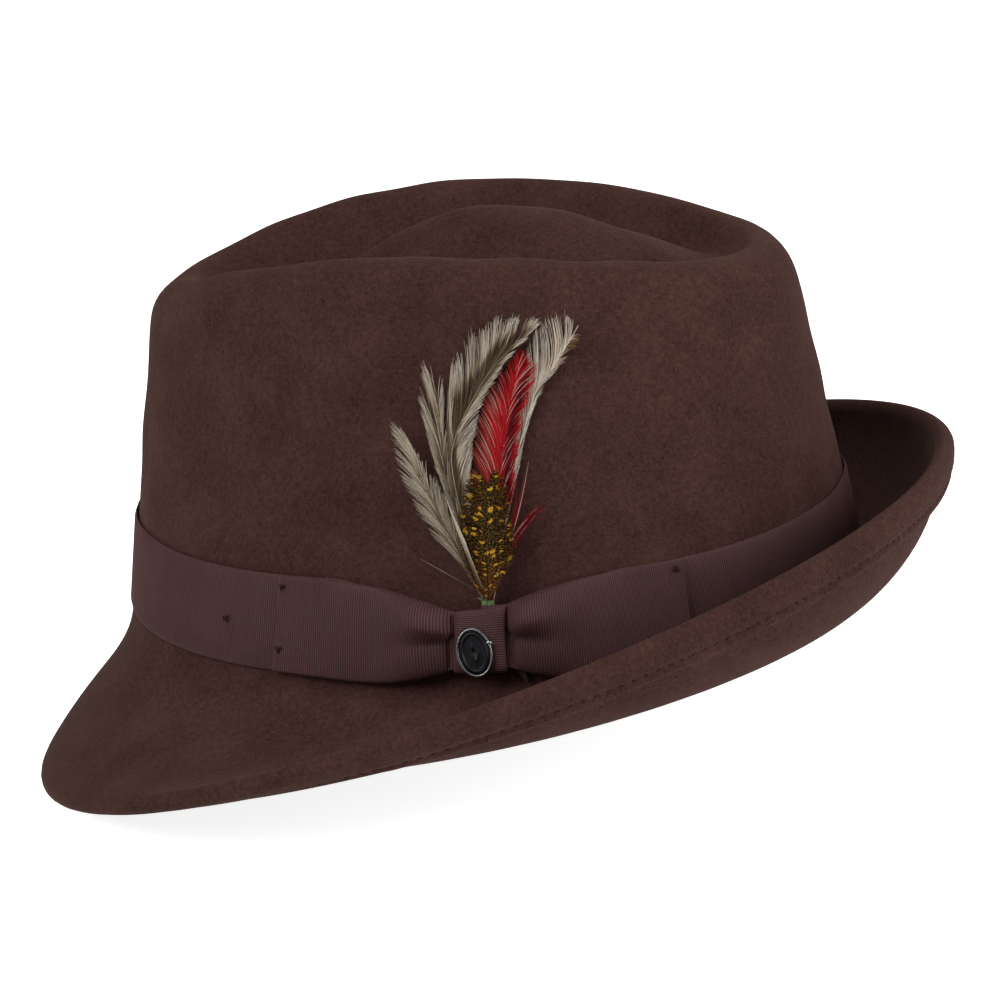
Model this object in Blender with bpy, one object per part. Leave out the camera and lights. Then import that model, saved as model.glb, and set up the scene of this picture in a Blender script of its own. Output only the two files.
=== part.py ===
"""Fedora hat in felt, with a ribbon band and bow, a feather mount, a pin badge, sweatband and lining.

Metres, +Z up along the crown. The front of the hat is -Y and the wearer's left is +X. The origin is the
centre of the head opening, and z = 0 is the height of the break, where the crown meets the brim.
Angle t runs round the hat: 0 at the front, 90 degrees at the wearer's left, 180 degrees at the back.
"""

import math

import bpy
import numpy as np

# Plan of the crown at the break: outer half length and width, squareness, and how the front narrows.
BREAK_HALF_LENGTH = 0.106
BREAK_HALF_WIDTH = 0.0885
BREAK_POWER = 2.12
BREAK_EGG = 0.058
BREAK_WAVE = (0.0012, 0.0006)

# Ridge: the top edge of the crown, which runs round the sunken top.
RIDGE_HALF_LENGTH = 0.0816
RIDGE_HALF_WIDTH = 0.0489
RIDGE_POWER = 1.97
RIDGE_EGG = 0.036
RIDGE_HEIGHT = (0.1095, -0.0032, -0.0187, 0.0071)
RIDGE_RADIUS = 0.0117
WALL_BULGE = 0.005

# Sunken top: an oval groove round a dome. Series are in cos(0 t), cos(t), cos(2 t).
GROOVE_PLACE = (0.300, 0.055, -0.115)
GROOVE_DEPTH = (0.0155, 0.0035, -0.0065)
DOME_HEIGHT = 0.1118
DOME_CENTRE_Y = 0.008
DOME_ROUNDNESS = 0.7

# Brim: width, slope where it starts, slope at its edge, and extra slope half way, as series in cos(k t).
BRIM_WIDTH = (0.0489, 0.0037, -0.0041, -0.0036)
BRIM_START = (-0.578, -0.706, 0.122, -0.185, -0.094)
BRIM_END = (0.614, -1.432, -0.412, 0.145, -0.016)
BRIM_MIDDLE = (0.160, 0.108, 0.141, 0.021)
BREAK_FILLET = 0.0025

# Cloth thicknesses.
FELT = 0.0028
WELT = 0.0055
WELT_WIDTH = 0.0095
STITCH_INSET = 0.0028
THREAD_RADIUS = 0.00025
RIBBON = 0.0007
GAP = 0.0003

# Hatband and bow. Heights are above the break, and angles are in degrees round the hat.
BAND_BOTTOM = 0.0029
BAND_WIDTH = 0.0254
BAND_DIP = 0.0095
BOW_CENTRE = 97.4
KNOT_HALF_ANGLE = 3.6
KNOT_BOTTOM = 0.0045
KNOT_TOP = 0.0220
KNOT_BACK = 0.0018
KNOT_FRONT = 0.0069
FOLD_FRONT = 66.4
FOLD_REAR = 129.2
BAND_LIFT = 0.0042
LOOP_TOP_GATHER = (0.0070, 0.0014)
LOOP_FOOT_GATHER = (0.0024, 0.0022)
LOOP_THIN = 0.0010
LOOP_SWELL = 0.0020
TAIL_ANGLE = (101.9, 103.2)
TAIL_HALF_ANGLE = (1.10, 0.15)
TAIL_HEIGHT = (0.0062, 0.0020)
TAIL_OUT = (0.0016, 0.0020)
TAIL_THICK = 0.0005

# Tacks: angle, height and distance out of each, and half its length as an angle and a height.
TACKS = [(67.6, 0.0254, 0.0030), (67.6, 0.0077, 0.0030), (55.6, 0.0160, 0.0017),
         (127.6, 0.0252, 0.0030), (103.4, 0.0194, 0.0070)]
TACK_REACH = (0.35, 0.0007)

# Feather mount.
STEM_ANGLE = 98.5
STEM_HALF_WIDTH = 0.0017
STEM_HALF_DEPTH = 0.0006
STEM_OUT = 0.0009
STEM_FLARE = 0.0015
STEM_BOTTOM = 0.0055
STEM_BEND = 0.0208
STEM_TOP = 0.0250
STEM_HEIGHTS = (STEM_BOTTOM, 0.0130, STEM_BEND, 0.0220, 0.0232, STEM_TOP)
VANE = 0.0004
FEATHER_BASE = STEM_TOP + 2 * GAP

# Feathers: the points of the spine, each an angle and a height, half the leaf's width, and the layer it
# lies in, counted from the felt outwards.
CURLED_HACKLE = ([(99.2, FEATHER_BASE), (101.0, 0.060), (108.0, 0.082), (117.0, 0.091)], 0.0050, 0)
RED = ([(99.0, FEATHER_BASE), (101.0, 0.052), (104.0, 0.070), (107.0, 0.086)], 0.0055, 1)
UPPER_HACKLE = ([(97.9, FEATHER_BASE), (96.2, 0.042), (93.4, 0.064), (91.0, 0.081)], 0.0040, 2)
BROAD_HACKLE = ([(98.2, FEATHER_BASE), (94.2, 0.052), (96.8, 0.074), (106.5, 0.093)], 0.0068, 3)
LOWER_HACKLE = ([(97.6, FEATHER_BASE), (94.6, 0.036), (90.6, 0.050), (86.4, 0.066)], 0.0042, 4)
RED_STRANDS = ([(100.0, FEATHER_BASE), (101.8, 0.034), (104.6, 0.044), (108.4, 0.053)], 0.0040, 4)
SPOTTED = ([(98.9, FEATHER_BASE), (99.2, 0.035), (100.2, 0.046), (101.8, 0.057)], 0.0062, 5)

# Badge.
BADGE_ANGLE = 96.6
BADGE_HEIGHT = 0.0098
BADGE_OUT = 0.0073
BADGE_HALF_WIDTH = 0.0049
BADGE_HALF_HEIGHT = 0.0067
BADGE_TILT = 12.0
POST_RADIUS = 0.00045
POST_LENGTH = 0.0020
POST_HOLE_RADIUS = 0.0008
CLUTCH_RADIUS = 0.0023
CLUTCH_PLACE = (0.0014, 0.0021)
CATCH_PLACE = (0.0057, 0.0008, 0.0004)
CATCH_BEND = 0.0006
CATCH_RADIUS = 0.00025
EMBLEM_HALF_WIDTH = 0.0012
EMBLEM_HALF_HEIGHT = 0.0022

# Badge sections: inset from the outline and height above the back, for the plate, rim and emblem.
PLATE_SECTION = [(0.0010, 0.0), (0.0010, 0.0009), (0.0016, 0.0011), (0.0020, 0.0011), (0.0023, 0.0007)]
RIM_SECTION = [(0.0002, 0.0), (0.0, 0.0005), (0.0001, 0.0011), (0.0005, 0.0011), (0.0007, 0.0007),
               (0.0007, 0.0)]
EMBLEM_HEIGHTS = (0.0010, 0.0012, 0.0016)

# Inside.
SWEAT_BOTTOM = 0.0030
SWEAT_TOP = 0.0350
SWEATBAND = 0.0012
REED_RADIUS = 0.0009
LINING = 0.0005
LINING_BOTTOM = 0.0250
LINING_TIP = 0.0770
SWEAT_BOW_ANGLE = 180.0
SWEAT_BOW_HEIGHT = 0.0135
SWEAT_BOW_THICK = 0.0009
SWEAT_BOW_HALF_HEIGHT = (0.0014, 0.0030)
LABEL_ANGLE = 152.0
LABEL_HEIGHT = 0.0470
LABEL_HALF_HEIGHT = 0.0070
LABEL_THICK = 0.0004
INSIDE_HALF_ANGLE = 6.0

AROUND = 60


def series(coefficients, t):
    """Sum of c_k cos(k t)."""
    return sum(c * np.cos(k * t) for k, c in enumerate(coefficients))


def power_circle(t, power):
    """Cosine and sine of a superellipse: sign times the size to the power of 2 over its exponent."""
    c, s = np.cos(t), np.sin(t)
    return np.sign(c) * np.abs(c) ** (2 / power), np.sign(s) * np.abs(s) ** (2 / power)


def break_line(t):
    """The outer edge of the crown at the break, in plan, with its small rise and fall."""
    c, s = power_circle(t, BREAK_POWER)
    x = BREAK_HALF_WIDTH * s * (1 - BREAK_EGG * np.cos(t))
    z = BREAK_WAVE[0] * np.cos(2 * t) + BREAK_WAVE[1] * np.cos(4 * t)
    return np.stack([x, -BREAK_HALF_LENGTH * c, z], -1)


def ridge_line(t):
    """The top edge of the crown: a superellipse whose height is a cubic in y."""
    c, s = power_circle(t, RIDGE_POWER)
    x = RIDGE_HALF_WIDTH * s * (1 - RIDGE_EGG * np.cos(t))
    y = -RIDGE_HALF_LENGTH * c
    z = sum(h * (y / 0.1) ** k for k, h in enumerate(RIDGE_HEIGHT))
    return np.stack([x, y, z], -1)


def plan_normal(line, t):
    """Outward horizontal normal of a closed line, from a small step either side of t."""
    step = 1e-3
    along = line(t + step) - line(t - step)
    normal = np.stack([-along[..., 1], along[..., 0], np.zeros_like(t)], -1)
    normal /= np.linalg.norm(normal, axis=-1, keepdims=True)
    centre = line(t) * np.array([1.0, 1.0, 0.0])
    return normal * np.sign((normal * centre).sum(-1, keepdims=True))


def shoulder_line(t):
    """Where the rounded ridge meets the wall: one radius out from the ridge and one radius below it."""
    return ridge_line(t) + RIDGE_RADIUS * (plan_normal(ridge_line, t) - np.array([0.0, 0.0, 1.0]))


def wall(t, v):
    """Crown wall: straight from the break (v = 0) to the shoulder (v = 1), with a slight bulge."""
    t, v = np.broadcast_arrays(np.asarray(t, float), np.asarray(v, float))
    low, high = break_line(t), shoulder_line(t)
    share = v - WALL_BULGE * v * (1 - v)
    plan = low * (1 - share[..., None]) + high * share[..., None]
    plan[..., 2] = low[..., 2] + (high[..., 2] - low[..., 2]) * v
    return plan


def wall_normal(t, v):
    """Outward normal of the wall."""
    step = 1e-3
    around = wall(t + step, v) - wall(t - step, v)
    upward = wall(t, v + step) - wall(t, v - step)
    normal = np.cross(around, upward)
    return normal / np.linalg.norm(normal, axis=-1, keepdims=True)


def beside_wall(angle, rise, out, level):
    """A point out from the wall, at a rise above the break (level 0) or above z = 0 (level 1)."""
    angle, rise, out = np.broadcast_arrays(*(np.asarray(a, float) for a in (angle, rise, out)))
    t = np.radians(angle)
    low, high = break_line(t)[..., 2], shoulder_line(t)[..., 2]
    v = (rise - level * low) / (high - low)
    return wall(t, v) + out[..., None] * wall_normal(t, v)


def on_wall(angle, height, out):
    """A point near the wall: angle in degrees, height above the break and distance out from the felt."""
    return beside_wall(angle, height, out, 0.0)


def brim(t, s, down):
    """Brim point at share s of the width, down below the top face.

    The slope goes from BRIM_START to BRIM_END along the width, plus BRIM_MIDDLE times 4 s (1 - s), and
    the profile is the running sum of its cosine outward and its sine upward."""
    steps = 80
    width = series(BRIM_WIDTH, t)[:, None]
    start, end, middle = (series(c, t)[:, None] for c in (BRIM_START, BRIM_END, BRIM_MIDDLE))
    share = np.linspace(0, 1, steps + 1)[None, :]
    slope = start + (end - start) * share ** 1.05 + middle * 4 * share * (1 - share)
    mid = (slope[:, 1:] + slope[:, :-1]) / 2
    zero = np.zeros((len(t), 1))
    out = np.concatenate([zero, np.cumsum(np.cos(mid), 1)], 1) * width / steps
    up = np.concatenate([zero, np.cumsum(np.sin(mid), 1)], 1) * width / steps
    place = np.clip(s * steps, 0, steps)
    index = np.clip(np.floor(place).astype(int), 0, steps - 1)
    part = place - index
    row = np.arange(len(t))

    def read(values):
        return values[row, index] * (1 - part) + values[row, index + 1] * part

    r = read(out) + np.sin(read(slope)) * down
    point = break_line(t) + plan_normal(break_line, t) * r[:, None]
    point[:, 2] += read(up) - np.cos(read(slope)) * down
    return point


def crown_top(t, u):
    """The sunken top: u = 0 on the ridge and u = 1 at the centre of the dome.

    The plan closes in a straight line on the centre. The height falls from the ridge to the groove on
    half a cosine wave, and climbs to the dome on a blend of a quarter sine and half a cosine wave."""
    ridge = ridge_line(t)
    place = series(GROOVE_PLACE, t)
    floor = ridge[:, 2] - series(GROOVE_DEPTH, t)
    u = u * np.ones_like(t)
    point = ridge * (1 - u[:, None])
    point[:, 1] += DOME_CENTRE_Y * u
    fall = (1 - np.cos(math.pi * np.clip(u / place, 0, 1))) / 2
    climb = np.clip((u - place) / (1 - place), 0, 1)
    sine, wave = np.sin(math.pi * climb / 2), (1 - np.cos(math.pi * climb)) / 2
    rise = DOME_ROUNDNESS * sine + (1 - DOME_ROUNDNESS) * wave
    point[:, 2] = np.where(u < place, ridge[:, 2] + (floor - ridge[:, 2]) * fall,
                           floor + (DOME_HEIGHT - floor) * rise)
    return point


def crown_rings(t):
    """Rings of the outer felt face from the dome down to the break."""
    place = series(GROOVE_PLACE, t)
    rings = [crown_top(t, 1 - (1 - place) * k) for k in (0.25, 0.5, 0.74, 0.92)]
    rings += [crown_top(t, place * k) for k in (1.0, 0.66, 0.33, 0.0)]
    ridge, shoulder = ridge_line(t), shoulder_line(t)
    for degrees in (60, 30):
        angle = math.radians(degrees)
        ring = shoulder + (ridge - shoulder) * (1 - math.cos(angle))
        ring[:, 2] = shoulder[:, 2] + (ridge - shoulder)[:, 2] * math.sin(angle)
        rings.append(ring)
    rings += [wall(t, v) for v in (1.0, 0.7, 0.4, 0.15)]
    return rings


def break_rings(t):
    """The soft corner between wall and brim: a parabola between a point up the wall and one on the brim."""
    low = break_line(t)[:, 2]
    above = wall(t, BREAK_FILLET / (shoulder_line(t)[:, 2] - low))
    corner = break_line(t)
    beyond = brim(t, BREAK_FILLET / series(BRIM_WIDTH, t), 0.0)
    return [above * (1 - k) ** 2 + corner * 2 * k * (1 - k) + beyond * k ** 2 for k in (0.0, 0.5, 1.0)]


def material(name, colour, roughness, metallic=0.0):
    """A plain Principled material."""
    made = bpy.data.materials.new(name)
    made.use_nodes = True
    shader = made.node_tree.nodes["Principled BSDF"]
    shader.inputs["Base Color"].default_value = (*colour, 1.0)
    shader.inputs["Roughness"].default_value = roughness
    shader.inputs["Metallic"].default_value = metallic
    return made


def add_solid(name, points, faces, finish):
    """A mesh object with its faces turned outwards."""
    mesh = bpy.data.meshes.new(name)
    mesh.from_pydata(np.asarray(points, float).reshape(-1, 3).tolist(), [], faces)
    volume = sum(signed_volume(points, face) for face in faces)
    if volume < 0:
        mesh.flip_normals()
    mesh.shade_smooth()
    mesh.set_sharp_from_angle(angle=math.radians(40))
    mesh.materials.append(finish)
    made = bpy.data.objects.new(name, mesh)
    bpy.context.scene.collection.objects.link(made)
    return made


def signed_volume(points, face):
    """Volume of the fan from the origin over one face, which is negative where the face looks inward."""
    corners = np.asarray(points, float).reshape(-1, 3)[list(face)]
    return sum(np.dot(corners[0], np.cross(corners[k], corners[k + 1])) for k in range(1, len(corners) - 1))


def grid_faces(rows, columns, wrap_rows, wrap_columns, start=0):
    """Quads of a grid of points, row by row, closed round in either direction where asked."""
    faces = []
    for i in range(rows if wrap_rows else rows - 1):
        for j in range(columns if wrap_columns else columns - 1):
            a, b = i * columns, (i + 1) % rows * columns
            k = (j + 1) % columns
            faces.append((start + a + j, start + a + k, start + b + k, start + b + j))
    return faces


def ring_solid(name, rings, finish):
    """A closed hoop: rings of points that follow each other round its cross-section."""
    rings = np.asarray(rings)
    faces = grid_faces(rings.shape[0], rings.shape[1], True, True)
    return add_solid(name, rings.reshape(-1, 3), faces, finish)


def capped_solid(name, rings, first, last, finish):
    """Rings of points closed by a point at each end."""
    rings = np.asarray(rings)
    count, around = rings.shape[:2]
    points = np.concatenate([rings.reshape(-1, 3), [first, last]])
    faces = grid_faces(count, around, False, True)
    top = (count - 1) * around
    for j in range(around):
        k = (j + 1) % around
        faces.append((k, j, count * around))
        faces.append((top + j, top + k, count * around + 1))
    return add_solid(name, points, faces, finish)


def slab(name, front, back, finish):
    """A sheet with thickness, from two grids of points, closed along its four edges."""
    front, back = np.asarray(front), np.asarray(back)
    rows, columns = front.shape[:2]
    size = rows * columns
    faces = grid_faces(rows, columns, False, False)
    faces += [tuple(reversed(f)) for f in grid_faces(rows, columns, False, False, size)]
    edge = [j for j in range(columns)]
    edge += [i * columns + columns - 1 for i in range(1, rows)]
    edge += [(rows - 1) * columns + j for j in range(columns - 2, -1, -1)]
    edge += [i * columns for i in range(rows - 2, 0, -1)]
    for a, b in zip(edge, edge[1:] + edge[:1]):
        faces.append((b, a, a + size, b + size))
    return add_solid(name, np.concatenate([front.reshape(-1, 3), back.reshape(-1, 3)]), faces, finish)


def tube_rings(path, radius, sides, closed):
    """Rings of points round a path, each square to it."""
    path = np.asarray(path)
    if closed:
        along = np.roll(path, -1, 0) - np.roll(path, 1, 0)
    else:
        along = np.gradient(path, axis=0)
    along /= np.linalg.norm(along, axis=1, keepdims=True)
    side = np.cross(along, [0.0, 0.0, 1.0])
    side /= np.linalg.norm(side, axis=1, keepdims=True)
    up = np.cross(side, along)
    angles = np.arange(sides) * 2 * math.pi / sides
    return path[:, None] + radius * (np.cos(angles)[None, :, None] * side[:, None]
                                     + np.sin(angles)[None, :, None] * up[:, None])


def make_felt_body(t, finish):
    """Crown and brim in one shell, with the edge folded under to double thickness for the welt."""
    outer = crown_rings(t) + break_rings(t)
    width = series(BRIM_WIDTH, t)
    welt = WELT_WIDTH / width
    edge = WELT / 2 / width
    face = outer + [brim(t, s, 0.0) for s in (0.16, 0.32, 0.49, 0.67, 0.84)]
    top_point = np.array([0.0, DOME_CENTRE_Y, DOME_HEIGHT])
    grid = np.concatenate([np.broadcast_to(top_point, (1, len(t), 3)), np.asarray(face)])
    around = np.roll(grid, -1, 1) - np.roll(grid, 1, 1)
    down = np.gradient(grid, axis=0)
    normal = np.cross(down, around)
    normal[0] = (0.0, 0.0, 1.0)
    normal /= np.linalg.norm(normal, axis=-1, keepdims=True)
    inner = (grid - FELT * normal)[1:len(outer) + 1]
    rings = list(face)
    for degrees in (90, 30, -30, -90):
        angle = math.radians(degrees)
        reach = 1 - edge + edge * math.cos(angle)
        rings.append(brim(t, reach, WELT / 2 * (1 - math.sin(angle))))
    rings.append(brim(t, 1 - welt, WELT))
    rings.append(brim(t, 1 - welt - 0.0004 / width, FELT))
    rings += [brim(t, s, FELT) for s in (0.67, 0.49, 0.32, 0.16)]
    rings += list(inner[::-1])
    bottom_point = top_point - np.array([0.0, 0.0, FELT])
    return capped_solid("felt_body", rings, top_point, bottom_point, finish)


def make_welt_thread(t, finish):
    """The stitching line under the brim, inside the raw edge of the welt."""
    place = 1 - (WELT_WIDTH - STITCH_INSET) / series(BRIM_WIDTH, t)
    path = brim(t, place, WELT + GAP + THREAD_RADIUS)
    return ring_solid("welt_thread", tube_rings(path, THREAD_RADIUS, 3, True), finish)


def gather(angle, reach=20.0, flat=2.5):
    """How far the ribbon is drawn together: 1 within flat degrees of the knot's middle, then falling
    smoothly to 0 over reach degrees."""
    away = np.clip((np.abs(angle - BOW_CENTRE) - flat) / reach, 0, 1)
    return 1 - away * away * (3 - 2 * away)


def band_out(angle):
    """How far the back of the band stands off the felt: further under the knot, whose ribbon passes
    behind it."""
    return GAP + (KNOT_BACK + RIBBON) * gather(angle, 9.0, 7.5)


def make_hatband(t, finish):
    """The ribbon round the crown, drawn narrower under the knot."""
    angle = np.degrees(t)
    top = BAND_BOTTOM + BAND_WIDTH - BAND_DIP * gather(angle)
    bottom = BAND_BOTTOM + BAND_LIFT * gather(angle, 8.0, 6.0)
    middle = (top + bottom) / 2
    back = band_out(angle)
    rings = [on_wall(angle, h, back) for h in (bottom, middle, top)]
    rings += [on_wall(angle, h, back + RIBBON) for h in (top, middle, bottom)]
    return ring_solid("hatband", rings, finish)


def make_loop(name, fold, inner_end, finish):
    """One flat loop of the bow, from its fold to its gathered end inside the knot."""
    share = np.linspace(0, 1, 13)[:, None]
    angle = fold + (inner_end - fold) * share
    across = np.linspace(0, 1, 5)[None, :]
    pinched = gather(angle, 2.5)
    top = BAND_BOTTOM + BAND_WIDTH - LOOP_TOP_GATHER[0] * gather(angle) - LOOP_TOP_GATHER[1] * pinched
    bottom = BAND_BOTTOM + LOOP_FOOT_GATHER[0] * gather(angle, 10.0) + LOOP_FOOT_GATHER[1] * pinched
    height = bottom + (top - bottom) * across
    back = band_out(angle) + RIBBON + GAP + 0.0 * across
    swell = np.sin(math.pi * share) ** 2 * np.sin(math.pi * across) ** 0.7
    depth = LOOP_THIN + LOOP_SWELL * swell * (1 - pinched)
    return slab(name, on_wall(angle, height, back + depth), on_wall(angle, height, back), finish)


def knot_profile(inset, count):
    """A closed loop in height and distance out: a rounded rectangle drawn in by inset."""
    angles = np.arange(count) * 2 * math.pi / count
    c, s = power_circle(angles, 4.0)
    half_height = (KNOT_TOP - KNOT_BOTTOM) / 2 - inset
    half_out = (KNOT_FRONT - KNOT_BACK) / 2 - inset
    height = (KNOT_TOP + KNOT_BOTTOM) / 2 + half_height * s
    return height, (KNOT_FRONT + KNOT_BACK) / 2 + half_out * c


def make_knot(finish):
    """A ribbon belt round the middle of the bow, with a hole for the badge's post."""
    count = 24
    angle = BOW_CENTRE + KNOT_HALF_ANGLE * np.linspace(-1, 1, 5)[None, :]
    loops = []
    for inset in (0.0, RIBBON):
        height, out = knot_profile(inset, count)
        loops.append(on_wall(angle, height[:, None], out[:, None]))
    outer, inner = loops
    grid = np.concatenate([outer, inner[:, ::-1]], axis=1)
    knot = ring_solid("bow_knot", grid, finish)
    centre, normal, _, _ = badge_axes()
    low = centre - (POST_LENGTH + 2 * GAP) * normal
    high = centre + 3 * GAP * normal
    cutter = add_post("knot_hole_cutter", low, high, POST_HOLE_RADIUS, 16, finish)
    cutter.hide_render = True
    cutter.display_type = "WIRE"
    hole = knot.modifiers.new("post_hole", "BOOLEAN")
    hole.operation = "DIFFERENCE"
    hole.object = cutter
    return knot


def make_tail(finish):
    """The loose end of ribbon that shows as a point below the knot."""
    share = np.linspace(0, 1, 4)[:, None]
    across = np.linspace(-1, 1, 3)[None, :]

    def run(ends):
        return ends[0] + (ends[1] - ends[0]) * share

    angle = run(TAIL_ANGLE) + run(TAIL_HALF_ANGLE) * across
    height = run(TAIL_HEIGHT) + 0.0 * across
    out = run(TAIL_OUT) + 0.0 * across
    return slab("bow_tail", on_wall(angle, height, out + TAIL_THICK), on_wall(angle, height, out), finish)


def make_tacks(finish):
    """Short thread stitches through the ribbon, each a small bar laid askew."""
    for number, (angle, height, out) in enumerate(TACKS, 1):
        low = on_wall(angle - TACK_REACH[0], height - TACK_REACH[1], out)
        high = on_wall(angle + TACK_REACH[0], height + TACK_REACH[1], out)
        add_post(f"ribbon_tack_{number}", low, high, THREAD_RADIUS, 5, finish)


def bezier(points, share):
    """A smooth curve from the first point to the last, drawn towards those between (Bernstein weights)."""
    points = np.asarray(points, float)
    order = len(points) - 1
    weights = [math.comb(order, k) * share ** k * (1 - share) ** (order - k) for k in range(order + 1)]
    return sum(w[..., None] * p for w, p in zip(weights, points))


def make_vane(name, shape, finish):
    """A feather as a thin leaf along a curve on the wall. The shape gives the spine's points, half the
    leaf's width, and its layer: each layer stands further off the felt, clear of the one behind."""
    spine, half_width, layer = shape
    out = 2 * GAP + layer * (VANE + GAP)
    share = np.linspace(0, 1, 9)
    line = bezier(spine, share)
    step = bezier(spine, np.clip(share + 1e-3, 0, 1)) - bezier(spine, np.clip(share - 1e-3, 0, 1))
    degree = on_wall(STEM_ANGLE + 1, 2 * STEM_TOP, 0.0) - on_wall(STEM_ANGLE, 2 * STEM_TOP, 0.0)
    metres_per_degree = np.linalg.norm(degree)
    tangent = step * np.array([metres_per_degree, 1.0])
    tangent /= np.linalg.norm(tangent, axis=1, keepdims=True)
    width = half_width * (0.16 + 0.84 * np.sin(math.pi * np.clip(share, 0.0, 0.93) ** 0.8))
    across = np.array([-1.0, 0.0, 1.0])[None, :]
    angle = line[:, :1] + across * (width * tangent[:, 1] / metres_per_degree)[:, None]
    height = line[:, 1:] - across * (width * tangent[:, 0])[:, None]
    return slab(name, on_wall(angle, height, out + VANE), on_wall(angle, height, out), finish)


def make_feathers(hackle, red, spotted):
    """The seven feathers of the mount."""
    make_vane("feather_curled_hackle", CURLED_HACKLE, hackle)
    make_vane("feather_red", RED, red)
    make_vane("feather_upper_hackle", UPPER_HACKLE, hackle)
    make_vane("feather_broad_hackle", BROAD_HACKLE, hackle)
    make_vane("feather_lower_hackle", LOWER_HACKLE, hackle)
    make_vane("feather_red_strands", RED_STRANDS, red)
    make_vane("feather_spotted", SPOTTED, spotted)


def make_tape(finish):
    """The taped quills: a flat stem behind the knot, which thickens and leans out above it."""
    heights = np.array(STEM_HEIGHTS)
    flare = np.clip((heights - STEM_BEND) / (STEM_TOP - STEM_BEND), 0, 1)
    angles = np.arange(10) * 2 * math.pi / 10
    width = STEM_HALF_WIDTH * (0.7 + 0.3 * flare)
    depth = STEM_HALF_DEPTH * (1 + 0.8 * flare)
    out = STEM_OUT + STEM_FLARE * flare
    metres_per_degree = BREAK_HALF_LENGTH * math.radians(1.0)
    rings = [on_wall(STEM_ANGLE + w * np.cos(angles) / metres_per_degree, h, o + d * np.sin(angles))
             for h, w, d, o in zip(heights, width, depth, out)]
    foot = on_wall(STEM_ANGLE, STEM_BOTTOM, STEM_OUT)
    top = on_wall(STEM_ANGLE, STEM_TOP, STEM_OUT + STEM_FLARE)
    return capped_solid("feather_tape", rings, foot, top, finish)


def badge_axes():
    """Centre of the badge's back, the direction it faces, and its tilted up and side directions."""
    centre = on_wall(BADGE_ANGLE, BADGE_HEIGHT, BADGE_OUT)
    normal = on_wall(BADGE_ANGLE, BADGE_HEIGHT, BADGE_OUT + 1.0) - centre
    up = np.array([0.0, 0.0, 1.0]) - normal * normal[2]
    up /= np.linalg.norm(up)
    side = np.cross(up, normal)
    tilt = math.radians(BADGE_TILT)
    c, s = math.cos(tilt), math.sin(tilt)
    return centre, normal, up * c - side * s, side * c + up * s


def oval_rings(profile, sides):
    """Rings of an oval turning, from (inset from the badge's outline, height above its back) points."""
    centre, normal, up, side = badge_axes()
    angles = np.arange(sides) * 2 * math.pi / sides
    return [centre + (BADGE_HALF_WIDTH - inset) * np.cos(angles)[:, None] * side
            + (BADGE_HALF_HEIGHT - inset) * np.sin(angles)[:, None] * up + height * normal
            for inset, height in profile]


def make_badge(black, silver):
    """Oval badge: dark plate with a raised ring, bright rim, lozenge emblem and catch, and behind it a
    post with a round clutch."""
    centre, normal, up, side = badge_axes()
    floor = centre + PLATE_SECTION[-1][1] * normal
    capped_solid("badge_plate", oval_rings(PLATE_SECTION, 28), centre, floor, black)
    ring_solid("badge_rim", oval_rings(RIM_SECTION, 28), silver)
    across, tall = EMBLEM_HALF_WIDTH * side, EMBLEM_HALF_HEIGHT * up
    foot, edge, peak = [centre + height * normal for height in EMBLEM_HEIGHTS]
    corners = [across, tall, -across, -tall]
    rings = [[foot + corner for corner in corners], [edge + corner for corner in corners]]
    capped_solid("badge_emblem", rings, foot, peak, silver)
    turn = np.radians(np.linspace(-60, 100, 6))[:, None]
    bend = centre + CATCH_PLACE[0] * side + CATCH_PLACE[1] * up + CATCH_PLACE[2] * normal
    path = bend + CATCH_BEND * (np.cos(turn) * normal + np.sin(turn) * up)
    capped_solid("badge_catch", tube_rings(path, CATCH_RADIUS, 6, False), path[0], path[-1], silver)
    add_post("badge_post", centre - POST_LENGTH * normal, centre - GAP * normal, POST_RADIUS, 12, silver)
    clutch_top, clutch_foot = [centre - depth * normal for depth in CLUTCH_PLACE]
    angles = np.arange(16)[:, None] * 2 * math.pi / 16
    spoke = np.cos(angles) * side + np.sin(angles) * up
    inner = POST_RADIUS + GAP
    rings = [clutch_foot + inner * spoke, clutch_foot + CLUTCH_RADIUS * spoke,
             clutch_top + CLUTCH_RADIUS * spoke, clutch_top + inner * spoke]
    ring_solid("badge_clutch", rings, silver)


def add_post(name, low, high, radius, sides, finish):
    """A straight round post between two points."""
    along = (high - low) / np.linalg.norm(high - low)
    side = np.cross(along, [0.0, 0.0, 1.0])
    side /= np.linalg.norm(side)
    up = np.cross(along, side)
    angles = np.arange(sides)[:, None] * 2 * math.pi / sides
    spoke = radius * (np.cos(angles) * side + np.sin(angles) * up)
    return capped_solid(name, [low + spoke, high + spoke], low, high, finish)


def inner_ring(t, z, depth):
    """A level ring inside the crown, depth in from the outer felt face. The wall leans, so the ring is
    taken a little higher on it, by what stepping square to the wall loses in height."""
    half_way = np.full_like(t, 0.5)
    return beside_wall(np.degrees(t), z + depth * wall_normal(t, half_way)[:, 2], -depth, 1.0) \
        * np.array([1.0, 1.0, 0.0]) + np.array([0.0, 0.0, z])


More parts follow.
